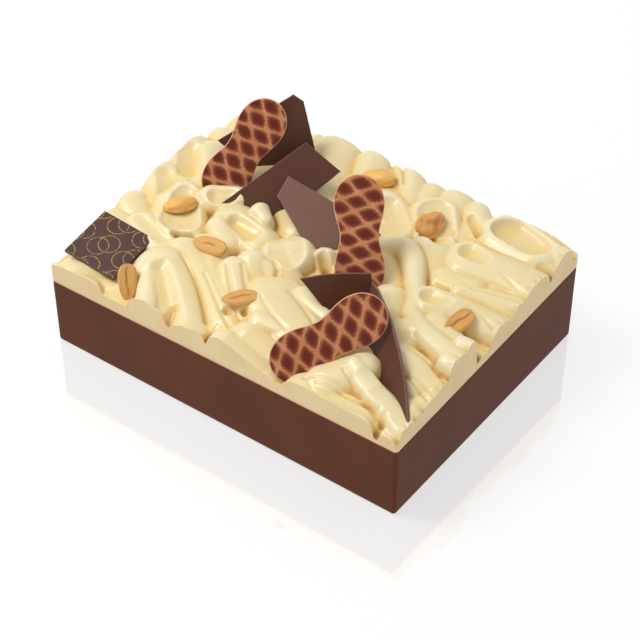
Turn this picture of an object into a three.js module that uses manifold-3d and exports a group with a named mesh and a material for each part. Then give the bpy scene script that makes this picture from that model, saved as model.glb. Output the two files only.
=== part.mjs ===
// A rectangular entremet: a dark chocolate base layer under a layer of pale cream whose top is
// folded with a spatula, set with chocolate shards, peanut-shaped chocolate plaques, a square
// chocolate plaque and roasted peanut halves. Millimetres, +Z up, origin at the middle of the
// underside, +X along the long side and -Y towards the long front side.
import * as THREE from 'three';
import { mergeVertices } from 'three/addons/utils/BufferGeometryUtils.js';
import Module from 'manifold-3d';

// The cake
const LENGTH = 200;
const WIDTH = 152;
const CORNER_RADIUS = 1.6;
const FOOT_ROUNDING = 1.4;
// The base layer is poured a little unevenly: its height at each corner.
const BASE_HEIGHT = { frontLeft: 37, frontRight: 38.5, backRight: 43, backLeft: 41 };
const LAYER_GAP = 0.3;
// The cream between the folds: its height at each corner, and how far and how fast it rises inside.
const BED_HEIGHT = { frontLeft: 44.5, frontRight: 44, backRight: 50, backLeft: 50 };
const BED_RISE = 4;
const BED_RAMP = 18;
// How much wider each fold is at its foot than the width that shows between the creases, how
// high it stands from its foot, and how round it is over the crest: 0.5 is half an ellipse.
const FOLD_SPREAD = 1.3;
const FOLD_LEAST_HEIGHT = 3;
const FOLD_HEIGHT_PER_WIDTH = 0.5;
const FOLD_HEIGHT_LIMIT = 11;
const FOLD_ROUNDNESS = 0.55;
// Rings round the foot of the base: how far in and how high, as shares of its rounding.
const FOOT_STEPS = [[1, 0], [1 / 3, 1 / 3], [0, 1]];
const TALLER_THAN_ALL = 90;

// The chocolate and the nuts
const SHARD_THICKNESS = 1.8;
const PLAQUE_THICKNESS = 2.4;
const PLAQUE_HALF_LENGTH = 29;
const PLAQUE_HALF_WAIST = 9;
const PLAQUE_BEVEL = 0.5;
const SQUARE_SIDE = 30;
const SQUARE_THICKNESS = 1.8;
const NUT_LENGTH = 17;
const NUT_WIDTH = 10.5;
const NUT_DOME = 4.6;
const NUT_CUT_BULGE = 1.1;
// How blunt the nut's ends are, and how much its first and last ring are drawn out for the facets.
const NUT_BLUNTNESS = 0.75;
const NUT_END_STRETCH = 1.03;
// Every piece that is set into the cream has this much room round it.
const POCKET_GAP = 0.3;
// A pocket's corner is drawn out no further than this sharp a corner needs.
const SHARPEST_CORNER = 0.4;
// The plates and the view both face the cake's front right corner, turned by this angle.
const FRONT_TURN = 36.4;

// Facets
const OUTLINE_STEPS = 32;
const CORNER_STEPS = 2;
const CREAM_GRID = 2.7;
const NUT_RINGS = 6;
const NUT_SIDES = 10;

// Folds of cream, one spatula stroke each. The crest runs from one place to the other, with the
// half-width at both ends and a sideways bow in its middle.
// [from x, y, z, to x, y, z, half-width from, to, bow]
const FOLDS = [
  // front left corner, under and beside the square plaque
  [-94, -77, 48, -69, -66, 47, 8, 8, 0],
  [-87, -70, 50, -70, -51, 50, 9, 9, 0],
  [-60, -60, 52, -52, -64, 49, 5, 4, 0],
  // long strokes that run out over the front side
  [-51, -50, 58, -14, -75, 50, 12.5, 10, 0],
  [-55, -55, 56, -40, -75, 54, 4.5, 4.5, 0],
  [-52, -34, 57, 4, -68, 50, 6.5, 7, 3],
  [-34, -37, 55, -14, -49, 53, 5, 4, 0],
  // grooved bulb, bud, round flap and spout in the middle
  [-21, -33, 58, -13, -42, 55, 7.5, 7, 0],
  [-17, -24, 59, -6, -36, 52, 7, 7, 0],
  [-11, -20, 58, -2, -29, 53, 7, 7, 0],
  [-4, -17, 58, 5, -23, 52, 4.5, 4.5, 0],
  [-10, -13, 60, -6, -8, 60.5, 10, 10, 0],
  [8, -2, 58, 12, -6, 52, 5.5, 5.5, 0],
  // wave and knob before the middle shard, lip before the back plaque
  [-45, -3, 58, -27, -9, 57, 10, 10, 0],
  [-48, -12, 58, -38, -19, 56, 5.5, 6, 0],
  [-36, 5, 61, -32, 3, 59, 4.5, 4, 0],
  [-63, 3, 60, -55, 8, 60.5, 7, 6.5, 0],
  // petals and lumps on the left side
  [-77, -5, 59, -66, -23, 57.5, 11, 13, 0],
  [-79, -32, 57, -60, -37, 55, 8, 8, 0],
  [-97, 5, 58, -88, -10, 54, 9, 9, 0],
  [-99, 27, 60, -86, 10, 56, 12, 11, 0],
  [-89, 31, 60, -75, 10, 57, 8, 8, 0],
  [-97, -32, 53, -83, -36, 54, 6, 6, 0],
  [-97, -20, 56, -87, -25, 54, 7, 7, 0],
  // lobes along the back side
  [-95, 66, 54, -72, 60, 55, 10, 10, 0],
  [-93, 47, 58, -86, 46, 58, 6, 6, 0],
  [-66, 72, 57, -58, 60, 55, 8, 8, 0],
  [-52, 72, 57, -47, 67, 56, 5, 5, 0],
  [-38, 70, 60, -32, 58, 56, 12, 11, 0],
  [-18, 74, 60, -13, 62, 55, 8, 8, 0],
  [-5, 77, 57, 0, 68, 54, 6, 6, 0],
  [3, 78, 59, 16, 58, 55, 6.5, 7, 0],
  [19, 71, 57, 22, 61, 56, 7, 7, 0],
  [33, 71, 58, 35, 60, 56, 9, 8, 0],
  [45, 70, 58, 59, 57, 57, 6, 6, 0],
  // petal, fold and crests right of the middle plaque
  [30, 57, 59.5, 38, 47, 57, 11.5, 10.5, 0],
  [44, 36, 59.5, 58, 16, 53, 9, 8.5, 0],
  [6, 49, 59, 24, 40, 56, 8, 8, 2],
  [27, 14, 57, 50, -5, 54, 9, 8, 0],
  [25, 20, 59, 35, 24, 60.5, 5, 5.5, 1],
  [35, 24, 60.5, 53, 7, 58.5, 5, 4.5, 2],
  [53, 7, 58.5, 63, -11, 57.5, 4.5, 4.5, 1],
  [63, -11, 57.5, 100, -27, 60, 4.5, 5.5, -2.5],
  [48, -8, 58, 57, -17, 54, 8, 7, 0],
  // slippers and ribbon cut off at the right side, bowl and corner fold behind them
  [63, 37, 60, 102, 38, 59, 11, 9.5, 0],
  [72, 15, 57, 101, 24, 56, 3.5, 7, 0],
  [65, 0, 59.5, 98, 8, 54.5, 9, 7.5, 0],
  [75, -9, 57.5, 88, -16, 56.5, 6, 6, 0],
  [67, 62, 61, 87, 59, 60.5, 12, 11, 0],
  [94, 62, 60, 102, 63, 60, 6, 6, 0],
  [87, 46, 57, 99, 56, 57, 5, 5, 0],
  // strokes beside the blade, down to the front right corner
  [67, -23, 58, 73, -31, 54, 7.5, 7, 0],
  [74, -37, 57, 97, -39, 53, 7, 6.5, 0],
  [75, -39, 56, 84, -46, 52, 7, 6, 0],
  [88, -47, 53, 97, -42, 50, 6, 6, 0],
  // ends of strokes along the cut sides
  [-92, -79, 49.5, -74, -79, 50, 6, 6, 0],
  [-44, -77, 53, -33, -78, 52, 5, 4.5, 0],
  [-18, -78, 50.5, -9, -78, 52.5, 4, 4, 0],
  [47, -78, 50, 80, -78, 49.6, 7, 6, 0],
  [62, 78, 55.5, 80, 78, 55.5, 7, 7, 0],
  [86, 78, 55, 97, 78, 51, 6, 5, 0],
  [94, -19, 61, 104, -18, 61, 3.5, 3.5, 0],
  [95, -31, 60, 104, -31, 60.5, 3.5, 3.5, 0],
  // strokes between and behind the plates
  [-45, -25, 56, -34, -36, 55, 8, 8, 0],
  [-60, 30, 56, -45, 50, 56, 10, 10, 0],
  [-30, 46, 56, -20, 32, 55, 10, 9, 0],
  [-14, 46, 56, -2, 30, 55, 8, 8, 0],
  [2, 30, 55, 14, 18, 54, 8, 8, 0],
  [-36, 22, 54, -18, 12, 55, 8, 8, 0],
  [-64, -28, 54, -50, -24, 54, 7, 7, 0],
  [-97, -52, 50, -90, -40, 52, 8, 8, 0],
  [18, 2, 54, 30, -12, 52, 8, 7, 0],
  [38, -20, 52, 52, -33, 54, 8, 9, 0],
  [44, -44, 52, 62, -40, 53, 8, 8, 0],
  [94, -58, 51, 99, -46, 51, 6, 6, 0],
  [60, 22, 56, 74, 22, 56, 7, 7, 0],
  [84, 24, 55, 100, 27, 54, 6, 6, 0],
  // dome and strokes before the front shard
  [4, -39, 57, 27, -46, 56, 15, 13, 0],
  [9, -54, 56, 29, -49, 55, 5, 5, 0],
  [9, -62, 54, 24, -61, 51, 8, 8, 0],
  [5, -74, 54, 28, -71, 47, 8, 8, 0],
  [56, -65, 54, 64, -51, 57, 9, 7, 0],
  [62, -54, 58, 75, -60, 55, 4, 4, 0],
  [50, -72, 51, 78, -66, 49, 9, 9, 0],
  [84, -61, 51, 94, -73, 46, 6, 6, 0],
  [69, -58, 55.5, 98, -68, 50.5, 4.5, 5, 0],
  [14, -29, 57, 33, -35, 56, 3.5, 3.5, 0],
];

// Where the spatula pressed the cream in: dishes, mouths of folds and valleys. A dish runs like a
// fold, with its depth in place of the height; its edge is crisp at 0.5 and soft at 2.
// [from x, y, depth, to x, y, depth, half-width from, to, bow, edge]
const SCOOPS = [
  // petals on the left side, and the pit under the one that holds a nut
  [-75, -6, 4, -66, -20, 4.5, 6.5, 10, 0, 0.7],
  [-60, -29, 5, -55, -26, 5, 3, 3, 0, 1],
  [-60, 2, 3.5, -55, 5, 3.5, 5, 5, 0, 0.8],
  [-80, -33, 1.5, -62, -36, 1.5, 4, 4, 0, 1],
  [-94, 3, 2, -86, -6, 2, 5, 5, 0, 1],
  [-96, 24, 2.5, -86, 13, 3, 6, 7, 0, 1],
  // valleys of the long strokes at the front side
  [-49, -55, 2.5, -24, -75, 2.5, 6, 7, 0, 2.2],
  [-28, -70, 2, -26, -80, 4, 3, 3, 0, 1.2],
  [-5, -66, 1, -4, -80, 4, 2.5, 2.5, 0, 1.2],
  // wave, round flap and spout
  [-42, -7, 3.5, -31, -10, 3.5, 4, 6, 0, 0.9],
  [-11, -13, 1.8, -7, -8, 1.8, 9.5, 9.5, 0, 0.6],
  [8, -4, 3.5, 12, -7, 3.5, 3, 3, 0, 0.8],
  // petals and mouths right of the middle plaque
  [11, 46, 3, 22, 38, 3, 5.5, 6.5, 0, 0.9],
  [31, 56, 4, 40, 47, 4.5, 8.5, 8.5, 0, 0.7],
  [38, 40, 5, 46, 38, 5, 4.5, 5, 0, 0.6],
  [47, 62, 3, 58, 54, 4, 2.5, 2.5, 0, 1],
  // bowl, slippers and coil on the right
  [69, 64, 7, 84, 60, 7, 9.5, 8.5, 0, 0.6],
  [62, 38, 5, 69, 37, 4, 5, 3.5, 0, 0.6],
  [65, 1, 5, 71, 2, 4, 4.8, 3.4, 0, 0.6],
  [65, -23, 2.5, 68, -26, 2.5, 3.2, 3.2, 0, 0.8],
  [94, 49, 3, 103, 50, 4, 2.5, 2.5, 0, 1],
  [95, -12, 2, 104, -13, 3, 2.5, 2.5, 0, 1],
  [94, 17, 1.5, 104, 18, 2.5, 2.5, 2.5, 0, 1],
  [93, -55, 1, 104, -56, 2.5, 2.5, 2.5, 0, 1],
  // the deep groove beside the front corner
  [88, -70, 2, 90, -80, 7, 2.5, 3, 0, 1.2],
];

// Broken plates of chocolate: the outline of the front face, and where its local origin stands.
const SHARDS = [
  {
    name: 'shard_back',
    at: [-69.2, 35, 62.4],
    turn: FRONT_TURN,
    lean: 62,
    outline: [[24.3, 27.8], [-13.5, 5], [-10.1, 2], [-2, -14], [30, -14], [36, -4], [34.8, 1.6],
      [29.4, 24.4]],
  },
  {
    name: 'shard_middle',
    at: [-52.1, 0.5, 54],
    turn: FRONT_TURN,
    lean: 45,
    outline: [[37.4, 33.3], [-4.4, 2.9], [0, -1.5], [12, -8], [28, -8], [42.6, 9.4], [54.3, 19]],
  },
  {
    name: 'shard_pale',
    at: [-5.3, 3.5, 53],
    turn: FRONT_TURN,
    lean: 30,
    outline: [[-10.5, 35.4], [-15.8, 25.1], [-6.4, 7.8], [0, -5], [12.3, -7], [24, -3], [33.8, 5.1],
      [12.4, 21]],
  },
  {
    name: 'shard_front',
    at: [30.8, -32.3, 54],
    turn: FRONT_TURN,
    lean: 65,
    outline: [[-12.1, 15], [0, -0.5], [5, -7], [17, -7], [21.5, 8], [20, 17.6], [6.9, 17.6], [-3, 16.7]],
  },
  {
    name: 'shard_blade',
    at: [96.9, -65.7, 49],
    turn: -31,
    lean: 52,
    outline: [[2, 0.6], [-14.7, 10.1], [-29.9, 16.1], [-41.8, 19.9], [-50.3, 22], [-64, 24.2], [-70.3, 24],
      [-63.9, 17.7], [-58, 4], [-48, -3], [-37.5, -4], [-6, -3]],
  },
];

// Plaques cut in the outline of a whole peanut, all of one size.
const PEANUT_PLAQUES = [
  { name: 'plaque_back', at: [-61.4, 24.9, 71], turn: FRONT_TURN, lean: 58, roll: 56 },
  { name: 'plaque_middle', at: [24.1, 2.3, 72], turn: FRONT_TURN, lean: 46, roll: 90.5 },
  { name: 'plaque_front', at: [47.6, -53.8, 61.2], turn: FRONT_TURN, lean: 52, roll: 31 },
];
const SQUARE_PLAQUE = {
  name: 'plaque_square',
  at: [-81.1, -54.1, 54],
  turn: FRONT_TURN,
  lean: 12,
  roll: -35.4,
};

// Halves of roasted peanuts. cut says that the flat inner face shows instead of the dome.
const NUTS = [
  { name: 'nut_front_left', at: [-57, -68.6, 52.3], turn: FRONT_TURN, lean: 60, roll: 90, cut: true },
  { name: 'nut_left', at: [-71.4, -13.1, 56.4], turn: 54, lean: 8, roll: 0, cut: false },
  { name: 'nut_centre', at: [-39.6, -29.4, 57.2], turn: 9, lean: 15, roll: 0, cut: true },
  { name: 'nut_boat', at: [-5.4, -49.9, 56], turn: 47, lean: 8, roll: 0, cut: true },
  { name: 'nut_back', at: [-7.3, 63.7, 55.2], turn: 18, lean: 15, roll: 0, cut: false },
  { name: 'nut_right_back', at: [33.9, 47.6, 55], turn: 60, lean: 25, roll: 22, cut: false },
  { name: 'nut_right', at: [85, -5.6, 57], turn: 60, lean: 20, roll: 20, cut: true },
];

const CHOCOLATE = new THREE.MeshStandardMaterial({ color: 0x5a3a2e, roughness: 0.35, metalness: 0 });
const PALE_CHOCOLATE = new THREE.MeshStandardMaterial({ color: 0x78584f, roughness: 0.3, metalness: 0 });
const BASE_CHOCOLATE = new THREE.MeshStandardMaterial({ color: 0x613d30, roughness: 0.55, metalness: 0 });
const CREAM = new THREE.MeshStandardMaterial({ color: 0xf0deb0, roughness: 0.4, metalness: 0 });
const PRINTED_PLAQUE = new THREE.MeshStandardMaterial({ color: 0xb0784f, roughness: 0.5, metalness: 0 });
const DARK_PLAQUE = new THREE.MeshStandardMaterial({ color: 0x4a3238, roughness: 0.4, metalness: 0 });
const ROASTED_NUT = new THREE.MeshStandardMaterial({ color: 0xe0ad6c, roughness: 0.5, metalness: 0 });

const wasm = await Module();
wasm.setup();

// A geometry, moved by a matrix, as a solid that can be joined and cut.
function solidOf(geometry, matrix = new THREE.Matrix4()) {
  const bare = geometry.clone();
  bare.deleteAttribute('normal');
  bare.deleteAttribute('uv');
  bare.applyMatrix4(matrix);
  const merged = mergeVertices(bare, 1e-4);
  const mesh = new wasm.Mesh({
    numProp: 3,
    vertProperties: new Float32Array(merged.attributes.position.array),
    triVerts: new Uint32Array(merged.index.array),
  });
  return new wasm.Manifold(mesh);
}

function geometryOf(solid) {
  const mesh = solid.getMesh();
  const geometry = new THREE.BufferGeometry();
  geometry.setAttribute('position', new THREE.BufferAttribute(mesh.vertProperties, 3));
  geometry.setIndex(new THREE.BufferAttribute(mesh.triVerts, 1));
  geometry.computeVertexNormals();
  return geometry;
}

function largestPiece(solid) {
  const pieces = solid.decompose();
  return pieces.reduce((best, piece) => (piece.volume() > best.volume() ? piece : best));
}

// Rings of the same number of points, joined from one to the next and closed at both ends
// by a fan from the middle of the ring. The rings run so that the outside faces out.
function skinRings(rings) {
  const positions = rings.flat();
  const count = rings[0].length;
  const index = [];
  for (let ring = 0; ring + 1 < rings.length; ring += 1) {
    for (let side = 0; side < count; side += 1) {
      const a = ring * count + side;
      const b = ring * count + (side + 1) % count;
      index.push(a, b, b + count, a, b + count, a + count);
    }
  }
  for (const end of [0, rings.length - 1]) {
    const middle = positions.length;
    positions.push(middleOf(rings[end]));
    for (let side = 0; side < count; side += 1) {
      const a = end * count + side;
      const b = end * count + (side + 1) % count;
      index.push(...(end === 0 ? [middle, b, a] : [middle, a, b]));
    }
  }
  const geometry = new THREE.BufferGeometry();
  geometry.setAttribute('position', new THREE.Float32BufferAttribute(positions.flat(), 3));
  geometry.setIndex(index);
  return geometry;
}

function middleOf(points) {
  return [0, 1, 2].map((axis) => points.reduce((sum, point) => sum + point[axis], 0) / points.length);
}

// The block's outline at a height that may depend on the place, with its four corners rounded.
function blockRing(inset, heightAt) {
  const ring = [];
  const radius = CORNER_RADIUS - inset / 2;
  const reachX = LENGTH / 2 - inset - radius;
  const reachY = WIDTH / 2 - inset - radius;
  for (const [quarter, signX, signY] of [[0, 1, 1], [1, -1, 1], [2, -1, -1], [3, 1, -1]]) {
    for (let step = 0; step <= CORNER_STEPS; step += 1) {
      const angle = (quarter + step / CORNER_STEPS) * Math.PI / 2;
      const x = signX * reachX + radius * Math.cos(angle);
      const y = signY * reachY + radius * Math.sin(angle);
      ring.push([x, y, heightAt(x, y)]);
    }
  }
  return ring;
}

function baseTop(x, y) {
  return betweenCorners(BASE_HEIGHT, x, y);
}

function baseGeometry() {
  const foot = FOOT_STEPS.map(([inset, rise]) => {
    return blockRing(inset * FOOT_ROUNDING, () => rise * FOOT_ROUNDING);
  });
  return skinRings([...foot, blockRing(0, baseTop)]);
}

// The space over the base layer, inside the block's sides, up to a height.
function overBase(top) {
  return skinRings([
    blockRing(0, (x, y) => baseTop(x, y) + LAYER_GAP),
    blockRing(0, () => top),
  ]);
}

// The value between four corner values, by the share of the way across the block.
function betweenCorners(corners, x, y) {
  const right = x / LENGTH + 0.5;
  const front = THREE.MathUtils.lerp(corners.frontLeft, corners.frontRight, right);
  const rear = THREE.MathUtils.lerp(corners.backLeft, corners.backRight, right);
  return THREE.MathUtils.lerp(front, rear, y / WIDTH + 0.5);
}

// Where a place lies in a stroke: the share of the way along it, and how far out it is, as a
// share of the half-width or, beyond the ends, of the nose.
function placeInStroke([x0, y0, , x1, y1, , width0, width1, bow], x, y, spread) {
  const length = Math.hypot(x1 - x0, y1 - y0);
  const alongX = (x1 - x0) / length;
  const alongY = (y1 - y0) / length;
  const along = (x - x0) * alongX + (y - y0) * alongY;
  const aside = (y - y0) * alongX - (x - x0) * alongY;
  const share = THREE.MathUtils.clamp(along / length, 0, 1);
  const beyond = along - share * length;
  const halfWidth = spread * THREE.MathUtils.lerp(width0, width1, share);
  const out = Math.hypot((aside - 4 * bow * share * (1 - share)) / halfWidth, beyond / halfWidth);
  return { share, out, halfWidth };
}

// The height of one fold at a place: round over the crest and steep at its foot.
function foldTop(fold, x, y) {
  const { share, out, halfWidth } = placeInStroke(fold, x, y, FOLD_SPREAD);
  if (out >= 1) return 0;
  const crest = THREE.MathUtils.lerp(fold[2], fold[5], share);
  const height = Math.min(FOLD_HEIGHT_LIMIT, FOLD_LEAST_HEIGHT + FOLD_HEIGHT_PER_WIDTH * halfWidth);
  return crest - height * (1 - (1 - out ** 2) ** FOLD_ROUNDNESS);
}

// How deep a scoop is at a place.
function scoopDepth(scoop, x, y) {
  const { share, out } = placeInStroke(scoop, x, y, 1);
  if (out >= 1) return 0;
  return THREE.MathUtils.lerp(scoop[2], scoop[5], share) * (1 - out ** 2) ** scoop[9];
}

// The height of the cream's top at a place.
function creamTop(x, y) {
  const inside = Math.min(LENGTH / 2 - Math.abs(x), WIDTH / 2 - Math.abs(y));
  const bed = betweenCorners(BED_HEIGHT, x, y) + BED_RISE * THREE.MathUtils.smoothstep(inside, 0, BED_RAMP);
  const folded = FOLDS.reduce((top, fold) => Math.max(top, foldTop(fold, x, y)), bed);
  return SCOOPS.reduce((top, scoop) => top - scoopDepth(scoop, x, y), folded);
}

// The cream as a block with a fine grid for its top, a little wider than the cake.
function creamBlock() {
  const countX = Math.ceil(LENGTH / CREAM_GRID) + 2;
  const countY = Math.ceil(WIDTH / CREAM_GRID) + 2;
  const positions = [];
  for (let row = 0; row <= countY; row += 1) {
    for (let column = 0; column <= countX; column += 1) {
      const x = (column - countX / 2) * CREAM_GRID;
      const y = (row - countY / 2) * CREAM_GRID;
      positions.push([x, y, creamTop(x, y)]);
    }
  }
  const index = [];
  const rim = [];
  const stride = countX + 1;
  for (let row = 0; row < countY; row += 1) {
    for (let column = 0; column < countX; column += 1) {
      const a = row * stride + column;
      const [b, c, d] = [a + 1, a + 1 + stride, a + stride];
      const heights = [a, b, c, d].map((corner) => positions[corner][2]);
      // The cell is split along its more level diagonal, so that crests and creases stay sharp.
      const level = Math.abs(heights[0] - heights[2]) < Math.abs(heights[1] - heights[3]);
      index.push(...(level ? [a, b, c, a, c, d] : [a, b, d, b, c, d]));
    }
  }
  for (let column = 0; column < countX; column += 1) rim.push(column);
  for (let row = 0; row < countY; row += 1) rim.push(row * stride + countX);
  for (let column = countX; column > 0; column -= 1) rim.push(countY * stride + column);
  for (let row = countY; row > 0; row -= 1) rim.push(row * stride);
  const foot = positions.length;
  for (const place of rim) positions.push([positions[place][0], positions[place][1], 0]);
  const middle = positions.length;
  positions.push([0, 0, 0]);
  for (let step = 0; step < rim.length; step += 1) {
    const next = (step + 1) % rim.length;
    index.push(rim[step], foot + step, rim[next], foot + step, foot + next, rim[next]);
    index.push(foot + next, foot + step, middle);
  }
  const geometry = new THREE.BufferGeometry();
  geometry.setAttribute('position', new THREE.Float32BufferAttribute(positions.flat(), 3));
  geometry.setIndex(index);
  return geometry;
}

// The outline of a whole peanut, long along X: an oval of Cassini.
function peanutOutline(grow) {
  const long = (PLAQUE_HALF_LENGTH + grow) ** 2;
  const waist = (PLAQUE_HALF_WAIST + grow) ** 2;
  const reach = (long + waist) / 2;
  const focus = (long - waist) / 2;
  const points = [];
  for (let step = 0; step < OUTLINE_STEPS; step += 1) {
    const angle = 2 * Math.PI * step / OUTLINE_STEPS;
    const root = Math.sqrt(reach ** 2 - (focus * Math.sin(2 * angle)) ** 2);
    const radius = Math.sqrt(focus * Math.cos(2 * angle) + root);
    points.push(new THREE.Vector2(radius * Math.cos(angle), radius * Math.sin(angle)));
  }
  return points;
}

// The front face lies in the local plane z = 0 and the plate behind it.
function plateGeometry(outline, thickness, bevel, grow) {
  const geometry = new THREE.ExtrudeGeometry(new THREE.Shape(outline), {
    depth: thickness - 2 * bevel + 2 * grow,
    bevelEnabled: bevel > 0,
    bevelThickness: bevel,
    bevelSize: bevel,
    bevelOffset: -bevel,
    bevelSegments: 1,
  });
  return geometry.translate(0, 0, bevel - thickness - grow);
}

// An outline moved outwards by the same distance on every side.
function growOutline(outline, grow) {
  const corners = outline.map(([x, y]) => new THREE.Vector2(x, y));
  if (THREE.ShapeUtils.isClockWise(corners)) corners.reverse();
  return corners.map((corner, place) => {
    const before = corners[(place + corners.length - 1) % corners.length];
    const after = corners[(place + 1) % corners.length];
    const into = corner.clone().sub(before).normalize();
    const out = after.clone().sub(corner).normalize();
    const normal = new THREE.Vector2(into.y + out.y, -into.x - out.x).normalize();
    const stretch = 1 / Math.max(SHARPEST_CORNER, normal.dot(new THREE.Vector2(into.y, -into.x)));
    return corner.clone().addScaledVector(normal, grow * stretch);
  });
}

function squareOutline(grow) {
  const reach = SQUARE_SIDE / 2 + grow;
  return [[-1, -1], [1, -1], [1, 1], [-1, 1]].map(([x, y]) => new THREE.Vector2(reach * x, reach * y));
}

// Half a peanut, long along X, its dome towards +Z and its cut face, slightly bulged, below.
function nutGeometry(grow) {
  const rings = [];
  for (let ring = 0; ring < NUT_RINGS; ring += 1) {
    const turn = Math.PI * (ring + 0.5) / NUT_RINGS;
    const fullness = Math.sin(turn) ** NUT_BLUNTNESS;
    const x = -(NUT_LENGTH / 2 + grow) * Math.cos(turn) * NUT_END_STRETCH;
    const points = [];
    for (let side = 0; side < NUT_SIDES; side += 1) {
      const angle = 2 * Math.PI * side / NUT_SIDES;
      const y = (NUT_WIDTH / 2 + grow) * fullness * Math.cos(angle);
      const height = Math.sin(angle) > 0 ? NUT_DOME + grow : NUT_CUT_BULGE + grow;
      points.push([x, y, height * fullness * Math.sin(angle)]);
    }
    rings.push(points);
  }
  return skinRings(rings);
}

// Turned about the upright, leaned towards the viewer from lying flat, rolled in its own plane.
function poseMatrix({ at, turn, lean, roll = 0, cut = false }) {
  const radians = THREE.MathUtils.degToRad;
  const matrix = new THREE.Matrix4().makeTranslation(...at);
  matrix.multiply(new THREE.Matrix4().makeRotationZ(radians(turn)));
  matrix.multiply(new THREE.Matrix4().makeRotationX(radians(lean)));
  matrix.multiply(new THREE.Matrix4().makeRotationZ(radians(roll)));
  if (cut) matrix.multiply(new THREE.Matrix4().makeRotationX(Math.PI));
  return matrix;
}

// Everything that is set into the cream: how its shape grows, its pose and its material.
const SETTINGS = [
  ...SHARDS.map((shard) => ({
    pose: shard,
    material: shard.name === 'shard_pale' ? PALE_CHOCOLATE : CHOCOLATE,
    shape: (grow) => plateGeometry(growOutline(shard.outline, grow), SHARD_THICKNESS, 0, grow),
  })),
  ...PEANUT_PLAQUES.map((plaque) => ({
    pose: plaque,
    material: PRINTED_PLAQUE,
    shape: (grow) => plateGeometry(peanutOutline(grow), PLAQUE_THICKNESS, grow > 0 ? 0 : PLAQUE_BEVEL, grow),
  })),
  {
    pose: SQUARE_PLAQUE,
    material: DARK_PLAQUE,
    shape: (grow) => plateGeometry(squareOutline(grow), SQUARE_THICKNESS, 0, grow),
  },
  ...NUTS.map((nut) => ({ pose: nut, material: ROASTED_NUT, shape: nutGeometry })),
];

function creamSolid() {
  let cream = solidOf(creamBlock()).intersect(solidOf(overBase(TALLER_THAN_ALL)));
  for (const { pose, shape } of SETTINGS) {
    cream = cream.subtract(solidOf(shape(POCKET_GAP), poseMatrix(pose)));
  }
  return largestPiece(cream);
}

const entremet = new THREE.Group();

function addPiece(name, geometry, material, matrix) {
  const mesh = new THREE.Mesh(geometry, material);
  mesh.name = name;
  if (matrix) mesh.applyMatrix4(matrix);
  entremet.add(mesh);
}

addPiece('base_layer', baseGeometry(), BASE_CHOCOLATE);
addPiece('cream_layer', geometryOf(creamSolid()), CREAM);
for (const { pose, material, shape } of SETTINGS) {
  addPiece(pose.name, shape(0), material, poseMatrix(pose));
}

export default entremet;
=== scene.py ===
"""An entremet: a dark chocolate base under folded cream, set with chocolate and roasted peanuts.

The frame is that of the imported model: the origin is the middle of the underside, +X runs along the
long side and -Y points at the long front side. Sizes are in millimetres, and meshes are scaled to
metres in one place, ``MeshPiece.link``. Only the studio is in metres throughout.
"""
from __future__ import annotations

import logging
import math
from dataclasses import dataclass, field
from enum import Enum
from typing import Sequence

import bpy
import numpy as np
from mathutils import Matrix, Vector

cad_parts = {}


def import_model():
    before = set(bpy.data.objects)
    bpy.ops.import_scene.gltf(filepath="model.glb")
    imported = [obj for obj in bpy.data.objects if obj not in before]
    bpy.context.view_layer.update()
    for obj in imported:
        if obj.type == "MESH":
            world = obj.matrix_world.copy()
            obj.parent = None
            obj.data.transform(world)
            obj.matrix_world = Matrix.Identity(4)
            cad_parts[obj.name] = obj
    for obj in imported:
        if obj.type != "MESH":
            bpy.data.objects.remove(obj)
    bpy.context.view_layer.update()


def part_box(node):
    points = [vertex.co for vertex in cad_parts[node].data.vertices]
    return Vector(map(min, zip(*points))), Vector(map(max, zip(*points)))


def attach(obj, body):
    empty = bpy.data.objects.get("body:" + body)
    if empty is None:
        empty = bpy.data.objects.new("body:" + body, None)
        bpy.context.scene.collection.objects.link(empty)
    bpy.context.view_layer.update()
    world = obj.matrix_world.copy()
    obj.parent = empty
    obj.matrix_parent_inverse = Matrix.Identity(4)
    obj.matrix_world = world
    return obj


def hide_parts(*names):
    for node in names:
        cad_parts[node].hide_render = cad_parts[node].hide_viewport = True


LOG = logging.getLogger("entremet")

# metres in a millimetre
MM = 0.001
# how many finer layers the noises have that break up a printed or a seam line
FINE_DETAIL = 3.0
ROOT_BODY = "root"

Pair = tuple[float, float]
Triple = tuple[float, float, float]
Rgba = tuple[float, float, float, float]
Socket = bpy.types.NodeSocket

WHITE: Rgba = (1.0, 1.0, 1.0, 1.0)


def from_srgb(red: int, green: int, blue: int) -> Rgba:
    """Turns a colour as a screen shows it, 0 to 255, into a linear shader colour.

    Args:
        red: the red share.
        green: the green share.
        blue: the blue share.

    Returns:
        The linear colour with full alpha.
    """
    linear = [((value / 255 + 0.055) / 1.055) ** 2.4 for value in (red, green, blue)]
    return (linear[0], linear[1], linear[2], 1.0)


def smooth_step(value: np.ndarray) -> np.ndarray:
    """Eases a share from 0 to 1, level at both ends."""
    share = np.clip(value, 0.0, 1.0)
    return share * share * (3.0 - 2.0 * share)


# ---------------------------------------------------------------------------------------------
# Shader graphs
# ---------------------------------------------------------------------------------------------


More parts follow.
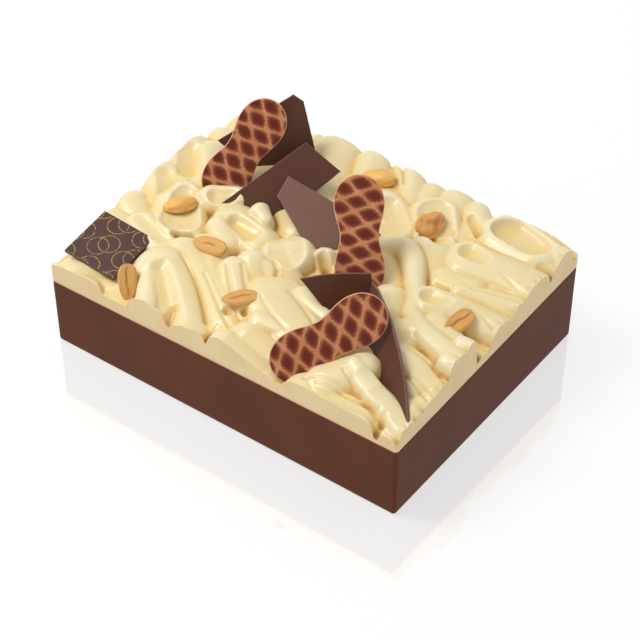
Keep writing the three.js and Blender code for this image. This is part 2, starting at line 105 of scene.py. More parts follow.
class Graph:
    """Adds nodes to one node tree and joins them."""

    def __init__(self, tree: bpy.types.NodeTree) -> None:
        """Keeps the tree that the nodes go into."""
        self.tree = tree

    def add(self, kind: str, **settings: object) -> bpy.types.Node:
        """Adds one node.

        Args:
            kind: the node's type, without the word ShaderNode.
            settings: the node's own properties.

        Returns:
            The new node.
        """
        node = self.tree.nodes.new("ShaderNode" + kind)
        for name, value in settings.items():
            setattr(node, name, value)
        return node

    def feed(self, target: Socket, source: object) -> None:
        """Joins a socket to an input, or sets the input to a plain value.

        Args:
            target: the input.
            source: the socket or the value.
        """
        if isinstance(source, bpy.types.NodeSocket):
            self.tree.links.new(source, target)
        else:
            target.default_value = source

    def math(self, operation: str, *operands: object) -> Socket:
        """Adds a Math node.

        Args:
            operation: the node's operation.
            operands: its inputs, sockets or numbers.

        Returns:
            The node's result.
        """
        node = self.add("Math", operation=operation)
        for target, operand in zip(node.inputs, operands):
            self.feed(target, operand)
        return node.outputs[0]

    def mix(self, factor: object, first: object, second: object) -> Socket:
        """Mixes two colours.

        Args:
            factor: the share of the second colour.
            first: the colour at factor 0.
            second: the colour at factor 1.

        Returns:
            The mixed colour.
        """
        node = self.add("Mix", data_type="RGBA", blend_type="MIX")
        self.feed(node.inputs[0], factor)
        self.feed(node.inputs[6], first)
        self.feed(node.inputs[7], second)
        return node.outputs[2]

    def noise(self, place: Socket, size: float, detail: float = 2.0, roughness: float = 0.5) -> Socket:
        """Adds a noise.

        Args:
            place: the coordinates, in metres.
            size: the noise's grain in millimetres.
            detail: how many finer layers it has.
            roughness: how strong the finer layers are.

        Returns:
            The noise, around 0.5.
        """
        node = self.add("TexNoise")
        self.feed(node.inputs["Vector"], place)
        node.inputs["Scale"].default_value = 1.0 / (size * MM)
        node.inputs["Detail"].default_value = detail
        node.inputs["Roughness"].default_value = roughness
        return node.outputs["Fac"]

    def spread(self, value: Socket, low: float, high: float) -> Socket:
        """Stretches the values from low to high over 0 to 1, eased at both ends.

        Args:
            value: the values.
            low: what becomes 0.
            high: what becomes 1.

        Returns:
            The stretched values.
        """
        node = self.add("MapRange", interpolation_type="SMOOTHSTEP")
        self.feed(node.inputs["Value"], value)
        node.inputs["From Min"].default_value = low
        node.inputs["From Max"].default_value = high
        return node.outputs["Result"]

    def fade(self, value: Socket, low: float, high: float) -> Socket:
        """The same turned over: 1 at low and 0 at high."""
        return self.math("SUBTRACT", 1.0, self.spread(value, low, high))

    def stretch(self, place: Socket, scale: Triple) -> Socket:
        """Scales coordinates.

        Args:
            place: the coordinates.
            scale: the factor on each axis.

        Returns:
            The scaled coordinates.
        """
        node = self.add("Mapping")
        self.feed(node.inputs["Vector"], place)
        node.inputs["Scale"].default_value = scale
        return node.outputs["Vector"]

    def mark(self, name: str, output: str = "Fac") -> Socket:
        """Reads a value, or with output Vector a vector, that the mesh carries at each vertex."""
        return self.add("Attribute", attribute_name=name).outputs[output]

    def object_place(self) -> Socket:
        """The place on the piece, in metres."""
        return self.add("TexCoord").outputs["Object"]

    def own_place(self) -> tuple[Socket, Socket]:
        """The place in the piece's own plane, along its X and its Y, in millimetres.

        Returns:
            The two coordinates.
        """
        split = self.add("SeparateXYZ")
        self.feed(split.inputs[0], self.mark("place", "Vector"))
        return split.outputs["X"], split.outputs["Y"]

    def use(self, group: bpy.types.NodeTree, **inputs: object) -> bpy.types.Node:
        """Places a node group.

        Args:
            group: the group.
            inputs: its inputs by name, with _ for a space.

        Returns:
            The group's node.
        """
        node = self.add("Group")
        node.node_tree = group
        for name, value in inputs.items():
            self.feed(node.inputs[name.replace("_", " ")], value)
        return node


def new_group(name: str, inputs: dict[str, str], output: tuple[str, str]) -> Graph:
    """Makes an empty shader node group.

    Args:
        name: the group's name.
        inputs: the socket kind of each input, by name.
        output: the name and the socket kind of its one output.

    Returns:
        A graph on the group, with its Group Input and Group Output nodes in place.
    """
    tree = bpy.data.node_groups.new(name, "ShaderNodeTree")
    sockets = [(*each, "INPUT") for each in inputs.items()] + [(*output, "OUTPUT")]
    for socket_name, kind, direction in sockets:
        tree.interface.new_socket(socket_name, in_out=direction, socket_type="NodeSocket" + kind)
    tree.nodes.new("NodeGroupInput")
    tree.nodes.new("NodeGroupOutput")
    return Graph(tree)


def group_ends(graph: Graph) -> tuple[bpy.types.Node, bpy.types.Node]:
    """The Group Input and the Group Output node of a group's graph."""
    return graph.tree.nodes["Group Input"], graph.tree.nodes["Group Output"]


@dataclass
class Effects:
    """The effects that several materials share, each a node group built once."""

    mottle_detail: float = 3.0
    mottle_span: Pair = (0.38, 0.64)
    relief_detail: float = 2.0
    mottle: bpy.types.NodeTree = field(init=False)
    relief: bpy.types.NodeTree = field(init=False)

    def __post_init__(self) -> None:
        """Builds the groups."""
        self.mottle = self.build_mottle()
        self.relief = self.build_relief()

    def build_mottle(self) -> bpy.types.NodeTree:
        """Builds the group that varies one colour towards another in soft clouds.

        Returns:
            The group: Place, Scale, Plain, Cloud and Amount in, Colour out.
        """
        inputs = {
            "Place": "Vector",
            "Scale": "Float",
            "Plain": "Color",
            "Cloud": "Color",
            "Amount": "Float",
        }
        graph = new_group("soft mottle", inputs, ("Colour", "Color"))
        start, end = group_ends(graph)
        noise = self.group_noise(graph, start.outputs["Place"], start.outputs["Scale"], self.mottle_detail)
        share = graph.math("MULTIPLY", graph.spread(noise, *self.mottle_span), start.outputs["Amount"])
        graph.feed(end.inputs["Colour"], graph.mix(share, start.outputs["Plain"], start.outputs["Cloud"]))
        return graph.tree

    def build_relief(self) -> bpy.types.NodeTree:
        """Builds the group that adds a broad and a fine unevenness.

        Returns:
            The group: Place, Broad Scale, Fine Scale and Fine Share in, Height out.
        """
        inputs = {"Place": "Vector", "Broad Scale": "Float", "Fine Scale": "Float", "Fine Share": "Float"}
        graph = new_group("uneven surface", inputs, ("Height", "Float"))
        start, end = group_ends(graph)
        broad, fine = (
            self.group_noise(graph, start.outputs["Place"], start.outputs[name], self.relief_detail)
            for name in ("Broad Scale", "Fine Scale")
        )
        graph.feed(
            end.inputs["Height"],
            graph.math("ADD", broad, graph.math("MULTIPLY", fine, start.outputs["Fine Share"])),
        )
        return graph.tree

    @staticmethod
    def group_noise(graph: Graph, place: Socket, scale: Socket, detail: float) -> Socket:
        """Adds a noise whose place and scale come from the group's inputs.

        Args:
            graph: the group's graph.
            place: the coordinates.
            scale: how many grains a metre has.
            detail: how many finer layers the noise has.

        Returns:
            The noise, around 0.5.
        """
        noise = graph.add("TexNoise")
        graph.feed(noise.inputs["Vector"], place)
        graph.feed(noise.inputs["Scale"], scale)
        noise.inputs["Detail"].default_value = detail
        return noise.outputs["Fac"]


@dataclass(frozen=True)
class Finish:
    """A finish: its name, the clouds in its colour, how rough and shiny it is, and its relief."""

    name: str
    colour: Rgba
    cloud: Rgba
    cloud_size: float = 14.0
    cloud_amount: float = 0.5
    roughness: float = 0.5
    specular: float = 0.5
    coat: float = 0.0
    coat_roughness: float = 0.2
    subsurface: float = 0.0
    subsurface_radius: Triple = (1.0, 0.6, 0.3)
    subsurface_scale: float = 3.0
    relief_broad: float = 4.0
    relief_fine: float = 0.6
    relief_fine_share: float = 0.3
    relief_depth: float = 0.05

    def material(self, effects: Effects) -> bpy.types.Material:
        """Builds the material.

        Args:
            effects: the shared effects.

        Returns:
            The material, dressed by ``paint``.
        """
        material = bpy.data.materials.new(self.name)
        material.use_nodes = True
        graph = Graph(material.node_tree)
        shader = material.node_tree.nodes["Principled BSDF"]
        for name, value in (
            ("Roughness", self.roughness),
            ("Specular IOR Level", self.specular),
            ("Coat Weight", self.coat),
            ("Coat Roughness", self.coat_roughness),
            ("Subsurface Weight", self.subsurface),
            ("Subsurface Radius", self.subsurface_radius),
            ("Subsurface Scale", self.subsurface_scale * MM),
        ):
            shader.inputs[name].default_value = value
        mottle = graph.use(
            effects.mottle,
            Place=self.place(graph),
            Scale=1.0 / (self.cloud_size * MM),
            Plain=self.colour,
            Cloud=self.cloud,
            Amount=self.cloud_amount,
        )
        relief = graph.use(
            effects.relief,
            Place=self.place(graph),
            Broad_Scale=1.0 / (self.relief_broad * MM),
            Fine_Scale=1.0 / (self.relief_fine * MM),
            Fine_Share=self.relief_fine_share,
        )
        bump = graph.add("Bump")
        bump.inputs["Strength"].default_value = 1.0
        bump.inputs["Distance"].default_value = self.relief_depth * MM
        graph.feed(bump.inputs["Height"], relief.outputs["Height"])
        graph.feed(shader.inputs["Normal"], bump.outputs["Normal"])
        graph.feed(shader.inputs["Base Color"], self.paint(graph, mottle.outputs["Colour"]))
        return material

    def place(self, graph: Graph) -> Socket:
        """The coordinates that the clouds and the relief follow."""
        return graph.object_place()

    def paint(self, graph: Graph, colour: Socket) -> Socket:
        """Lays the finish's own marks over the mottled colour, where it has any."""
        return colour


@dataclass(frozen=True)
class Tint:
    """A colour laid on where a value lies between two bounds, in full from the second one on."""

    colour: Rgba
    span: Pair
    amount: float

    def lay(self, graph: Graph, under: Socket, value: Socket) -> Socket:
        """Lays the tint on.

        Args:
            graph: the material's graph.
            under: the colour that it goes over.
            value: the value that it follows.

        Returns:
            The tinted colour.
        """
        share = graph.math("MULTIPLY", graph.spread(value, *self.span), self.amount)
        return graph.mix(share, under, self.colour)


@dataclass(frozen=True)
class FoldedCreamFinish(Finish):
    """Cream with painted light: a painted highlight on its crests, painted yellow shade in its valleys and
    painted brown shade in its creases and pits.
    """

    # painted light: the crest tint is a painted highlight, the valley tint a painted yellow shade, and the
    # crease and pit tints painted brown shade
    crest: Tint = Tint(from_srgb(233, 222, 188), (-0.2, 2.0), 0.7)
    valley: Tint = Tint(from_srgb(230, 194, 108), (0.0, 1.8), 0.6)
    crease_shade: Tint = Tint(from_srgb(203, 150, 80), (0.12, 0.8), 0.75)
    pit_shade: Tint = Tint(from_srgb(162, 108, 58), (2.0, 4.0), 0.8)

    def paint(self, graph: Graph, colour: Socket) -> Socket:
        """Paints light and shade into the cream by how far the mesh says that it lies over or under its
        surroundings.

        Args:
            graph: the material's graph.
            colour: the colour of the open cream.

        Returns:
            The tinted colour.
        """
        # depth under the surroundings places the painted shade, height over them the painted highlight
        depth = graph.mark("valley")
        height = graph.math("MULTIPLY", depth, -1.0)
        sharp = graph.mark("crease_shade")
        tints = (self.crest, self.valley, self.crease_shade, self.pit_shade)
        for tint, value in zip(tints, (height, depth, sharp, depth)):
            colour = tint.lay(graph, colour, value)
        return colour


@dataclass(frozen=True)
class BaseSideFinish(Finish):
    """The cut side of the base, with a paler, redder line where the cream begins."""

    seam: Rgba = from_srgb(140, 82, 56)
    seam_width: float = 0.9
    seam_grain: float = 1.6
    seam_span: Pair = (-0.3, 0.5)
    seam_amount: float = 0.8

    def paint(self, graph: Graph, colour: Socket) -> Socket:
        """Draws the seam line, broken up by a noise.

        Args:
            graph: the material's graph.
            colour: the colour of the side.

        Returns:
            The colour with the line.
        """
        noise = graph.noise(graph.object_place(), self.seam_grain, FINE_DETAIL)
        wander = graph.math("MULTIPLY", noise, self.seam_width)
        line = graph.fade(graph.math("SUBTRACT", graph.mark("below_top"), wander), *self.seam_span)
        return graph.mix(graph.math("MULTIPLY", line, self.seam_amount), colour, self.seam)


@dataclass(frozen=True)
class PlateFinish(Finish):
    """Chocolate whose edge faces are painted paler, a painted highlight along the rim."""

    # the colour of the painted highlight on the edge faces
    edge: Rgba = from_srgb(150, 108, 92)
    edge_highlight_amount: float = 0.6

    def paint(self, graph: Graph, colour: Socket) -> Socket:
        """Paints a highlight on the rim, where the mesh marks it."""
        return graph.mix(graph.math("MULTIPLY", graph.mark("rim"), self.edge_highlight_amount), colour, self.edge)


@dataclass(frozen=True)
class LatticePrintFinish(PlateFinish):
    """A plaque printed with slanting dark diamonds, like the net on a peanut's shell."""

    diamond: Rgba = from_srgb(126, 62, 40)
    diamond_core: Rgba = from_srgb(98, 40, 27)
    steep_side: Pair = (2.6, -8.1)
    slant_side: Pair = (-6.1, -5.9)
    origin: Pair = (0.0, 0.0)
    diamond_share: float = 0.85
    squareness: float = 3.1
    drift: float = 1.1
    drift_grain: float = 7.0
    speckle: float = 0.4
    speckle_grain: float = 0.7
    speckle_detail: float = 4.0
    speckle_roughness: float = 0.7
    edge_fade: float = 0.09
    core_span: Pair = (-0.26, -0.04)

    def paint(self, graph: Graph, colour: Socket) -> Socket:
        """Prints the diamonds, speckled at their edges, and then the painted highlight on the rim.

        Args:
            graph: the material's graph.
            colour: the ground colour.

        Returns:
            The printed colour.
        """
        own_x, own_y = graph.own_place()
        drift = graph.math("MULTIPLY", graph.noise(graph.object_place(), self.drift_grain), self.drift)
        across = graph.math("SUBTRACT", graph.math("ADD", own_x, drift), self.origin[0])
        along = graph.math("SUBTRACT", graph.math("SUBTRACT", own_y, drift), self.origin[1])
        (steep_x, steep_y), (slant_x, slant_y) = self.steep_side, self.slant_side
        area = steep_x * slant_y - steep_y * slant_x
        distances = []
        for share_x, share_y in ((slant_y / area, -slant_x / area), (-steep_y / area, steep_x / area)):
            shares = graph.math("MULTIPLY", across, share_x), graph.math("MULTIPLY", along, share_y)
            folded = graph.math("PINGPONG", graph.math("ADD", *shares), 0.5)
            distances.append(graph.math("POWER", folded, self.squareness))
        edge = graph.math("POWER", graph.math("ADD", *distances), 1 / self.squareness)
        place = graph.object_place()
        noise = graph.noise(place, self.speckle_grain, self.speckle_detail, self.speckle_roughness)
        speckle = graph.math("MULTIPLY", graph.math("SUBTRACT", noise, 0.5), self.speckle)
        rough_edge = graph.math("ADD", edge, speckle)
        reach = self.diamond_share / 2
        inside = graph.fade(rough_edge, reach - self.edge_fade, reach + self.edge_fade)
        core = graph.fade(rough_edge, *(reach + bound for bound in self.core_span))
        dark = graph.mix(core, self.diamond, self.diamond_core)
        printed = graph.mix(graph.math("MULTIPLY", inside, graph.mark("front")), colour, dark)
        return super().paint(graph, printed)


@dataclass(frozen=True)
class RingPrintFinish(PlateFinish):
    """A dark plaque printed with a plain net of thin gold rings that overlap."""

    gold: Rgba = from_srgb(178, 142, 78)
    ring_radius: float = 5.2
    ring_pitch: float = 7.6
    line_width: float = 0.42
    line_fade: Pair = (-0.1, 0.12)
    worn_grain: float = 1.2
    worn_span: Pair = (0.3, 0.6)

    def paint(self, graph: Graph, colour: Socket) -> Socket:
        """Prints two square nets of rings, one between the other's, worn in spots.

        Args:
            graph: the material's graph.
            colour: the ground colour.

        Returns:
            The printed colour.
        """
        places = graph.own_place()
        lines = []
        for shift in (0.0, self.ring_pitch / 2):
            squares = []
            for place in places:
                folded = graph.math("PINGPONG", graph.math("ADD", place, shift), self.ring_pitch)
                squares.append(graph.math("POWER", folded, 2.0))
            radius = graph.math("SQRT", graph.math("ADD", *squares))
            off_line = graph.math("ABSOLUTE", graph.math("SUBTRACT", radius, self.ring_radius))
            lines.append(graph.fade(off_line, *(self.line_width / 2 + bound for bound in self.line_fade)))
        noise = graph.noise(graph.object_place(), self.worn_grain, FINE_DETAIL)
        worn = graph.spread(noise, *self.worn_span)
        line = graph.math("MULTIPLY", graph.math("MAXIMUM", *lines), worn)
        mask = graph.math("MULTIPLY", line, graph.mark("front"))
        return super().paint(graph, graph.mix(mask, colour, self.gold))


@dataclass(frozen=True)
class RoastedNutFinish(Finish):
    """A roasted peanut half: golden outside, duller on its inner face, browner in its dents."""

    inner: Rgba = from_srgb(208, 158, 92)
    toasted: Rgba = from_srgb(160, 94, 40)
    streak_stretch: float = 0.35
    freckle: Tint = Tint(from_srgb(160, 94, 40), (0.56, 0.74), 0.35)
    freckle_grain: float = 1.3
    freckle_detail: float = 4.0
    freckle_roughness: float = 0.65

    def place(self, graph: Graph) -> Socket:
        """The nut's own coordinates, drawn out so that the streaks run along it."""
        return graph.stretch(graph.mark("place", "Vector"), (self.streak_stretch * MM, MM, MM))

    def paint(self, graph: Graph, colour: Socket) -> Socket:
        """Lays on the inner face, the freckles and the brown of the dents.

        Args:
            graph: the material's graph.
            colour: the colour of the outside.

        Returns:
            The finished colour.
        """
        face = graph.mix(graph.mark("inner"), colour, self.inner)
        place = self.place(graph)
        noise = graph.noise(place, self.freckle_grain, self.freckle_detail, self.freckle_roughness)
        freckled = self.freckle.lay(graph, face, noise)
        return graph.mix(graph.mark("dent"), freckled, self.toasted)


# ---------------------------------------------------------------------------------------------
# Meshes
# ---------------------------------------------------------------------------------------------


@dataclass
class MeshPiece:
    """A mesh in millimetres on its way to becoming one piece of the cake."""

    name: str
    vertices: np.ndarray
    faces: list[Sequence[int]]
    slots: np.ndarray | None = None
    marks: dict[str, np.ndarray] = field(default_factory=dict)
    sharp_ring: np.ndarray | None = None

    def link(
        self, materials: Sequence[bpy.types.Material], slot: str, nodes: Sequence[str]
    ) -> bpy.types.Object:
        """Makes the object, in metres, riding on the root body.

        Args:
            materials: one for each of the mesh's slots.
            slot: the name of the material slot; not used.
            nodes: the CAD nodes that the piece stands for.

        Returns:
            The new object.
        """
        mesh = bpy.data.meshes.new(self.name)
        mesh.from_pydata((self.vertices * MM).tolist(), [], [list(face) for face in self.faces])
        for material in materials:
            mesh.materials.append(material)
        mesh.polygons.foreach_set("use_smooth", np.ones(len(mesh.polygons), dtype=bool))
        if self.slots is not None:
            mesh.polygons.foreach_set("material_index", self.slots.astype(np.int32))
        for mark, values in self.marks.items():
            self.write_mark(mesh, mark, values)
        if self.sharp_ring is not None:
            self.mark_sharp(mesh)
        mesh.update()
        piece = bpy.data.objects.new(self.name, mesh)
        bpy.context.scene.collection.objects.link(piece)
        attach(piece, ROOT_BODY)
        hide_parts(*nodes)
        LOG.info("%s: %d vertices, %d faces", self.name, len(mesh.vertices), len(mesh.polygons))
        return piece

    @staticmethod
    def write_mark(mesh: bpy.types.Mesh, name: str, values: np.ndarray) -> None:
        """Writes one value, or one vector, for each vertex.

        Args:
            mesh: the mesh.
            name: what the mark is called.
            values: one value or one row for each vertex.
        """
        flat = np.asarray(values, dtype=np.float32)
        if flat.ndim == 1:
            mesh.attributes.new(name, "FLOAT", "POINT").data.foreach_set("value", flat)
        else:
            mesh.attributes.new(name, "FLOAT_VECTOR", "POINT").data.foreach_set("vector", flat.ravel())

    def mark_sharp(self, mesh: bpy.types.Mesh) -> None:
        """Marks the edges between two vertices of the sharp ring.

        Args:
            mesh: the mesh.
        """
        ends = np.empty(len(mesh.edges) * 2, dtype=np.int32)
        mesh.edges.foreach_get("vertices", ends)
        sharp = self.sharp_ring[ends].reshape(-1, 2).all(axis=1)
        mesh.attributes.new("sharp_edge", "BOOLEAN", "EDGE").data.foreach_set("value", sharp)


def join_rings(ring_count: int, side_count: int, first: int = 0) -> list[tuple[int, int, int, int]]:
    """The quads between closed rings of equal length, one after the other.

    Args:
        ring_count: how many rings there are.
        side_count: how many vertices each has.
        first: the first ring's first vertex.

    Returns:
        The faces.
    """
    faces = []
    for ring in range(ring_count - 1):
        low = first + ring * side_count
        for side in range(side_count):
            after = (side + 1) % side_count
            faces.append((low + side, low + after, low + side_count + after, low + side_count + side))
    return faces


@dataclass(frozen=True)
class Pose:
    """Where a plate or a nut sits: turned about the upright, leaned, then rolled in its own plane."""

    at: Triple
    turn: float
    lean: float
    roll: float = 0.0
    flipped: bool = False

    def matrix(self) -> np.ndarray:
        """Combines the turns.

        Returns:
            The rotation, as three rows.
        """
        turned = Matrix.Rotation(math.radians(self.turn), 3, "Z")
        leaned = Matrix.Rotation(math.radians(self.lean), 3, "X")
        rolled = Matrix.Rotation(math.radians(self.roll), 3, "Z")
        over = Matrix.Rotation(math.pi if self.flipped else 0.0, 3, "X")
        return np.array(turned @ leaned @ rolled @ over)

    def place(self, local: np.ndarray) -> np.ndarray:
        """Moves local points into the cake's frame."""
        return local @ self.matrix().T + np.array(self.at)


# ---------------------------------------------------------------------------------------------
# The block: base and cream
# ---------------------------------------------------------------------------------------------


@dataclass(frozen=True)
class CornerHeights:
    """A height at each corner of the block, in millimetres."""

    front_left: float
    front_right: float
    back_right: float
    back_left: float

    def at(self, block: "Block", x: np.ndarray, y: np.ndarray) -> np.ndarray:
        """The height in between, by the share of the way across the block.

        Args:
            block: the block.
            x: the places along it.
            y: the places across it.

        Returns:
            The heights.
        """
        right = x / block.length + 0.5
        back = y / block.width + 0.5
        front_height = self.front_left + (self.front_right - self.front_left) * right
        rear_height = self.back_left + (self.back_right - self.back_left) * right
        return front_height + (rear_height - front_height) * back


@dataclass(frozen=True)
class Block:
    """The block that both layers share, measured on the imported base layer."""

    length: float
    width: float
    corner_radius: float = 1.6
    layer_gap: float = 0.3
    base_height: CornerHeights = CornerHeights(37, 38.5, 43, 41)
    arc_steps: int = 8

    @classmethod
    def from_frame(cls) -> "Block":
        """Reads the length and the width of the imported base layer.

        Returns:
            The block.
        """
        low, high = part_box("base_layer")
        return cls(length=(high[0] - low[0]) / MM, width=(high[1] - low[1]) / MM)

    def base_top(self, x: np.ndarray, y: np.ndarray) -> np.ndarray:
        """The height of the base layer's top."""
        return self.base_height.at(self, x, y)

    def round_corners(self, x: np.ndarray, y: np.ndarray) -> tuple[np.ndarray, np.ndarray]:
        """Draws the corners of a rectangle full of points in to round ones.

        Args:
            x: the places along the block, out to its full length.
            y: the places across it, out to its full width.

        Returns:
            The same points, with those in the corner squares moved into a quarter disc.
        """
        reach_x = self.length / 2 - self.corner_radius
        reach_y = self.width / 2 - self.corner_radius
        out_x = np.clip((np.abs(x) - reach_x) / self.corner_radius, 0.0, 1.0)
        out_y = np.clip((np.abs(y) - reach_y) / self.corner_radius, 0.0, 1.0)
        round_x = self.corner_radius * out_x * (np.sqrt(1 - out_y**2 / 2) - 1)
        round_y = self.corner_radius * out_y * (np.sqrt(1 - out_x**2 / 2) - 1)
        return x + np.sign(x) * round_x, y + np.sign(y) * round_y

    def outline(self, step: float, inset: float = 0.0) -> np.ndarray:
        """Points round the block, against the clock from the middle of the right side.

        Args:
            step: about how far apart they are.
            inset: how far inside the block they are.

        Returns:
            The points, one a row.
        """
        radius = self.corner_radius - inset / 2
        reach_x = self.length / 2 - inset - radius
        reach_y = self.width / 2 - inset - radius
        points = []
        corners = [(reach_x, reach_y), (-reach_x, reach_y), (-reach_x, -reach_y), (reach_x, -reach_y)]
        for quarter, (centre_x, centre_y) in enumerate(corners):
            for arc in range(self.arc_steps + 1):
                angle = (quarter + arc / self.arc_steps) * math.pi / 2
                points.append((centre_x + radius * math.cos(angle), centre_y + radius * math.sin(angle)))
            ahead = (quarter + 1) * math.pi / 2
            next_x, next_y = corners[(quarter + 1) % 4]
            begin = np.array(points[-1])
            finish = np.array((next_x + radius * math.cos(ahead), next_y + radius * math.sin(ahead)))
            count = max(2, round(float(np.linalg.norm(finish - begin)) / step))
            points.extend(tuple(begin + (finish - begin) * share / count) for share in range(1, count))
        return np.array(points)


@dataclass(frozen=True)
class BaseLayer:
    """The dark base: straight cut sides, a slightly rounded foot and a rim that is hardly broken."""

    block: Block
    foot_rounding: float = 1.4
    foot_rings: int = 5
    side_rings: int = 26
    rim_rounding: float = 0.35
    side_step: float = 2.0
    unevenness: float = 0.14
    wave_count: int = 6
    wave_length: float = 34.0
    wave_shortening: float = 0.6
    wave_flatness: float = 0.5
    seed: int = 5

    def finish(self) -> BaseSideFinish:
        """The dull brown of the cut side.

        Returns:
            The finish.
        """
        return BaseSideFinish(
            "base chocolate",
            colour=from_srgb(92, 52, 33),
            cloud=from_srgb(86, 48, 31),
            cloud_size=26.0,
            cloud_amount=0.7,
            roughness=0.45,
            specular=0.06,
            relief_broad=7.0,
            relief_fine=0.8,
            relief_fine_share=0.35,
            relief_depth=0.16,
        )

    def build(self, effects: Effects) -> bpy.types.Object:
        """Builds the rings from the foot to the rim, and closes both ends.

        Args:
            effects: the shared effects.

        Returns:
            The piece.
        """
        rings = []
        for step in range(self.foot_rings):
            angle = step / self.foot_rings * math.pi / 2
            inset = self.foot_rounding * (1 - math.sin(angle))
            foot = self.foot_rounding * (1 - math.cos(angle))
            rings.append((inset, foot, 0.0))
        for step in range(self.side_rings + 1):
            rings.append((0.0, self.foot_rounding, step / self.side_rings))
        rings.append((self.rim_rounding, self.foot_rounding, 1.0))
        vertices = []
        below = []
        rng = np.random.default_rng(self.seed)
        waves = rng.uniform(0, 2 * math.pi, size=(self.wave_count, 2))
        for number, (inset, foot, share) in enumerate(rings):
            ring = self.block.outline(self.side_step, inset)
            top = self.block.base_top(ring[:, 0], ring[:, 1])
            rim = self.rim_rounding if number < len(rings) - 1 else 0.0
            height = foot + (top - rim - foot) * share
            vertices.append(np.column_stack([self.dent(ring, height, waves), height]))
            below.append(top - height)
        count = len(vertices[0])
        points = np.vstack(vertices)
        faces: list[Sequence[int]] = list(join_rings(len(rings), count))
        faces.append(tuple(range(count))[::-1])
        faces.append(tuple(range(len(points) - count, len(points))))
        piece = MeshPiece("base_side", points, faces, marks={"below_top": np.concatenate(below)})
        return piece.link([self.finish().material(effects)], "base", ["base_layer"])

    def dent(self, ring: np.ndarray, height: np.ndarray, waves: np.ndarray) -> np.ndarray:
        """Moves a ring's points in a little, in long shallow waves.

        Args:
            ring: the ring's points.
            height: their heights.
            waves: the two phases of each wave.

        Returns:
            The moved points.
        """
        wave = np.zeros(len(ring))
        for number, (first, second) in enumerate(waves):
            length = self.wave_length / (1 + self.wave_shortening * number)
            around = np.sin((ring[:, 0] - ring[:, 1]) / length + first)
            wave += around * np.sin(height / (self.wave_flatness * length) + second)
        inward = self.unevenness * (0.5 + 0.5 * wave / len(waves))
        return ring * (1 - inward / np.linalg.norm(ring, axis=1))[:, None]


@dataclass(frozen=True)
class Stroke:
    """One pass of the spatula: its two ends with a value at each, its half-widths and its bow."""

    x0: float
    y0: float
    value0: float
    x1: float
    y1: float
    value1: float
    half_width0: float
    half_width1: float
    bow: float = 0.0

    def locate(self, x: np.ndarray, y: np.ndarray, spread: float) -> tuple[np.ndarray, ...]:
        """Finds where places lie in the stroke.

        Args:
            x: the places along the block.
            y: the places across it.
            spread: how much wider the stroke is at its foot than its named width.

        Returns:
            The share of the way along, how far out as a share of the half-width, the half-width,
            and how far to the side in millimetres.
        """
        length = math.hypot(self.x1 - self.x0, self.y1 - self.y0)
        along_x = (self.x1 - self.x0) / length
        along_y = (self.y1 - self.y0) / length
        along = (x - self.x0) * along_x + (y - self.y0) * along_y
        aside = (y - self.y0) * along_x - (x - self.x0) * along_y
        share = np.clip(along / length, 0.0, 1.0)
        beyond = along - share * length
        half_width = spread * (self.half_width0 + (self.half_width1 - self.half_width0) * share)
        bowed = aside - 4 * self.bow * share * (1 - share)
        return share, np.hypot(bowed / half_width, beyond / half_width), half_width, bowed

    def value(self, share: np.ndarray) -> np.ndarray:
        """The value a share of the way along."""
        return self.value0 + (self.value1 - self.value0) * share


@dataclass(frozen=True)
class FoldBody:
    """How wide, high and round every fold is, its streaks, and the lip along one side of it."""

    spread: float = 1.3
    least_height: float = 3.0
    height_share: float = 0.5
    height_limit: float = 11.0
    roundness: float = 0.47
    streak_depth: float = 0.03
    streak_pitch: float = 5.0
    streak_phase: float = 2.3
    streak_turn: float = 2.4
    lip_height: float = 0.35
    lip_width: float = 0.11
    lip_place: float = 0.74


@dataclass(frozen=True)
class Fold(Stroke):
    """A fold of cream, whose values are the heights of its crest."""

    def top(self, x: np.ndarray, y: np.ndarray, body: FoldBody) -> np.ndarray:
        """The fold's height: round over the crest and steep at its foot.

        Args:
            x: the places along the block.
            y: the places across it.
            body: how wide, high and round the folds are.

        Returns:
            The heights, zero outside the fold.
        """
        share, out, half_width, aside = self.locate(x, y, body.spread)
        height = np.minimum(body.height_limit, body.least_height + body.height_share * half_width)
        drop = height * (1 - (1 - np.clip(out, 0.0, 1.0) ** 2) ** body.roundness)
        start = self.x0 + body.streak_phase * self.y0
        streak = np.sin(2 * math.pi * aside / body.streak_pitch + start + body.streak_turn * share)
        lip = np.exp(-(((out - body.lip_place) / body.lip_width) ** 2)) * (aside * math.sin(start) > 0)
        crest = self.value(share) - drop + body.streak_depth * streak + body.lip_height * lip
        return np.where(out < 1, crest, 0.0)


@dataclass(frozen=True)
class Scoop(Stroke):
    """Where the spatula pressed the cream in: its values are depths, and a low edge is a crisp one."""

    edge: float = 1.0

    def depth(self, x: np.ndarray, y: np.ndarray) -> np.ndarray:
        """How deep the scoop is at places, zero outside it."""
        share, out, _, _ = self.locate(x, y, 1.0)
        return self.value(share) * (1 - np.clip(out, 0.0, 1.0) ** 2) ** self.edge


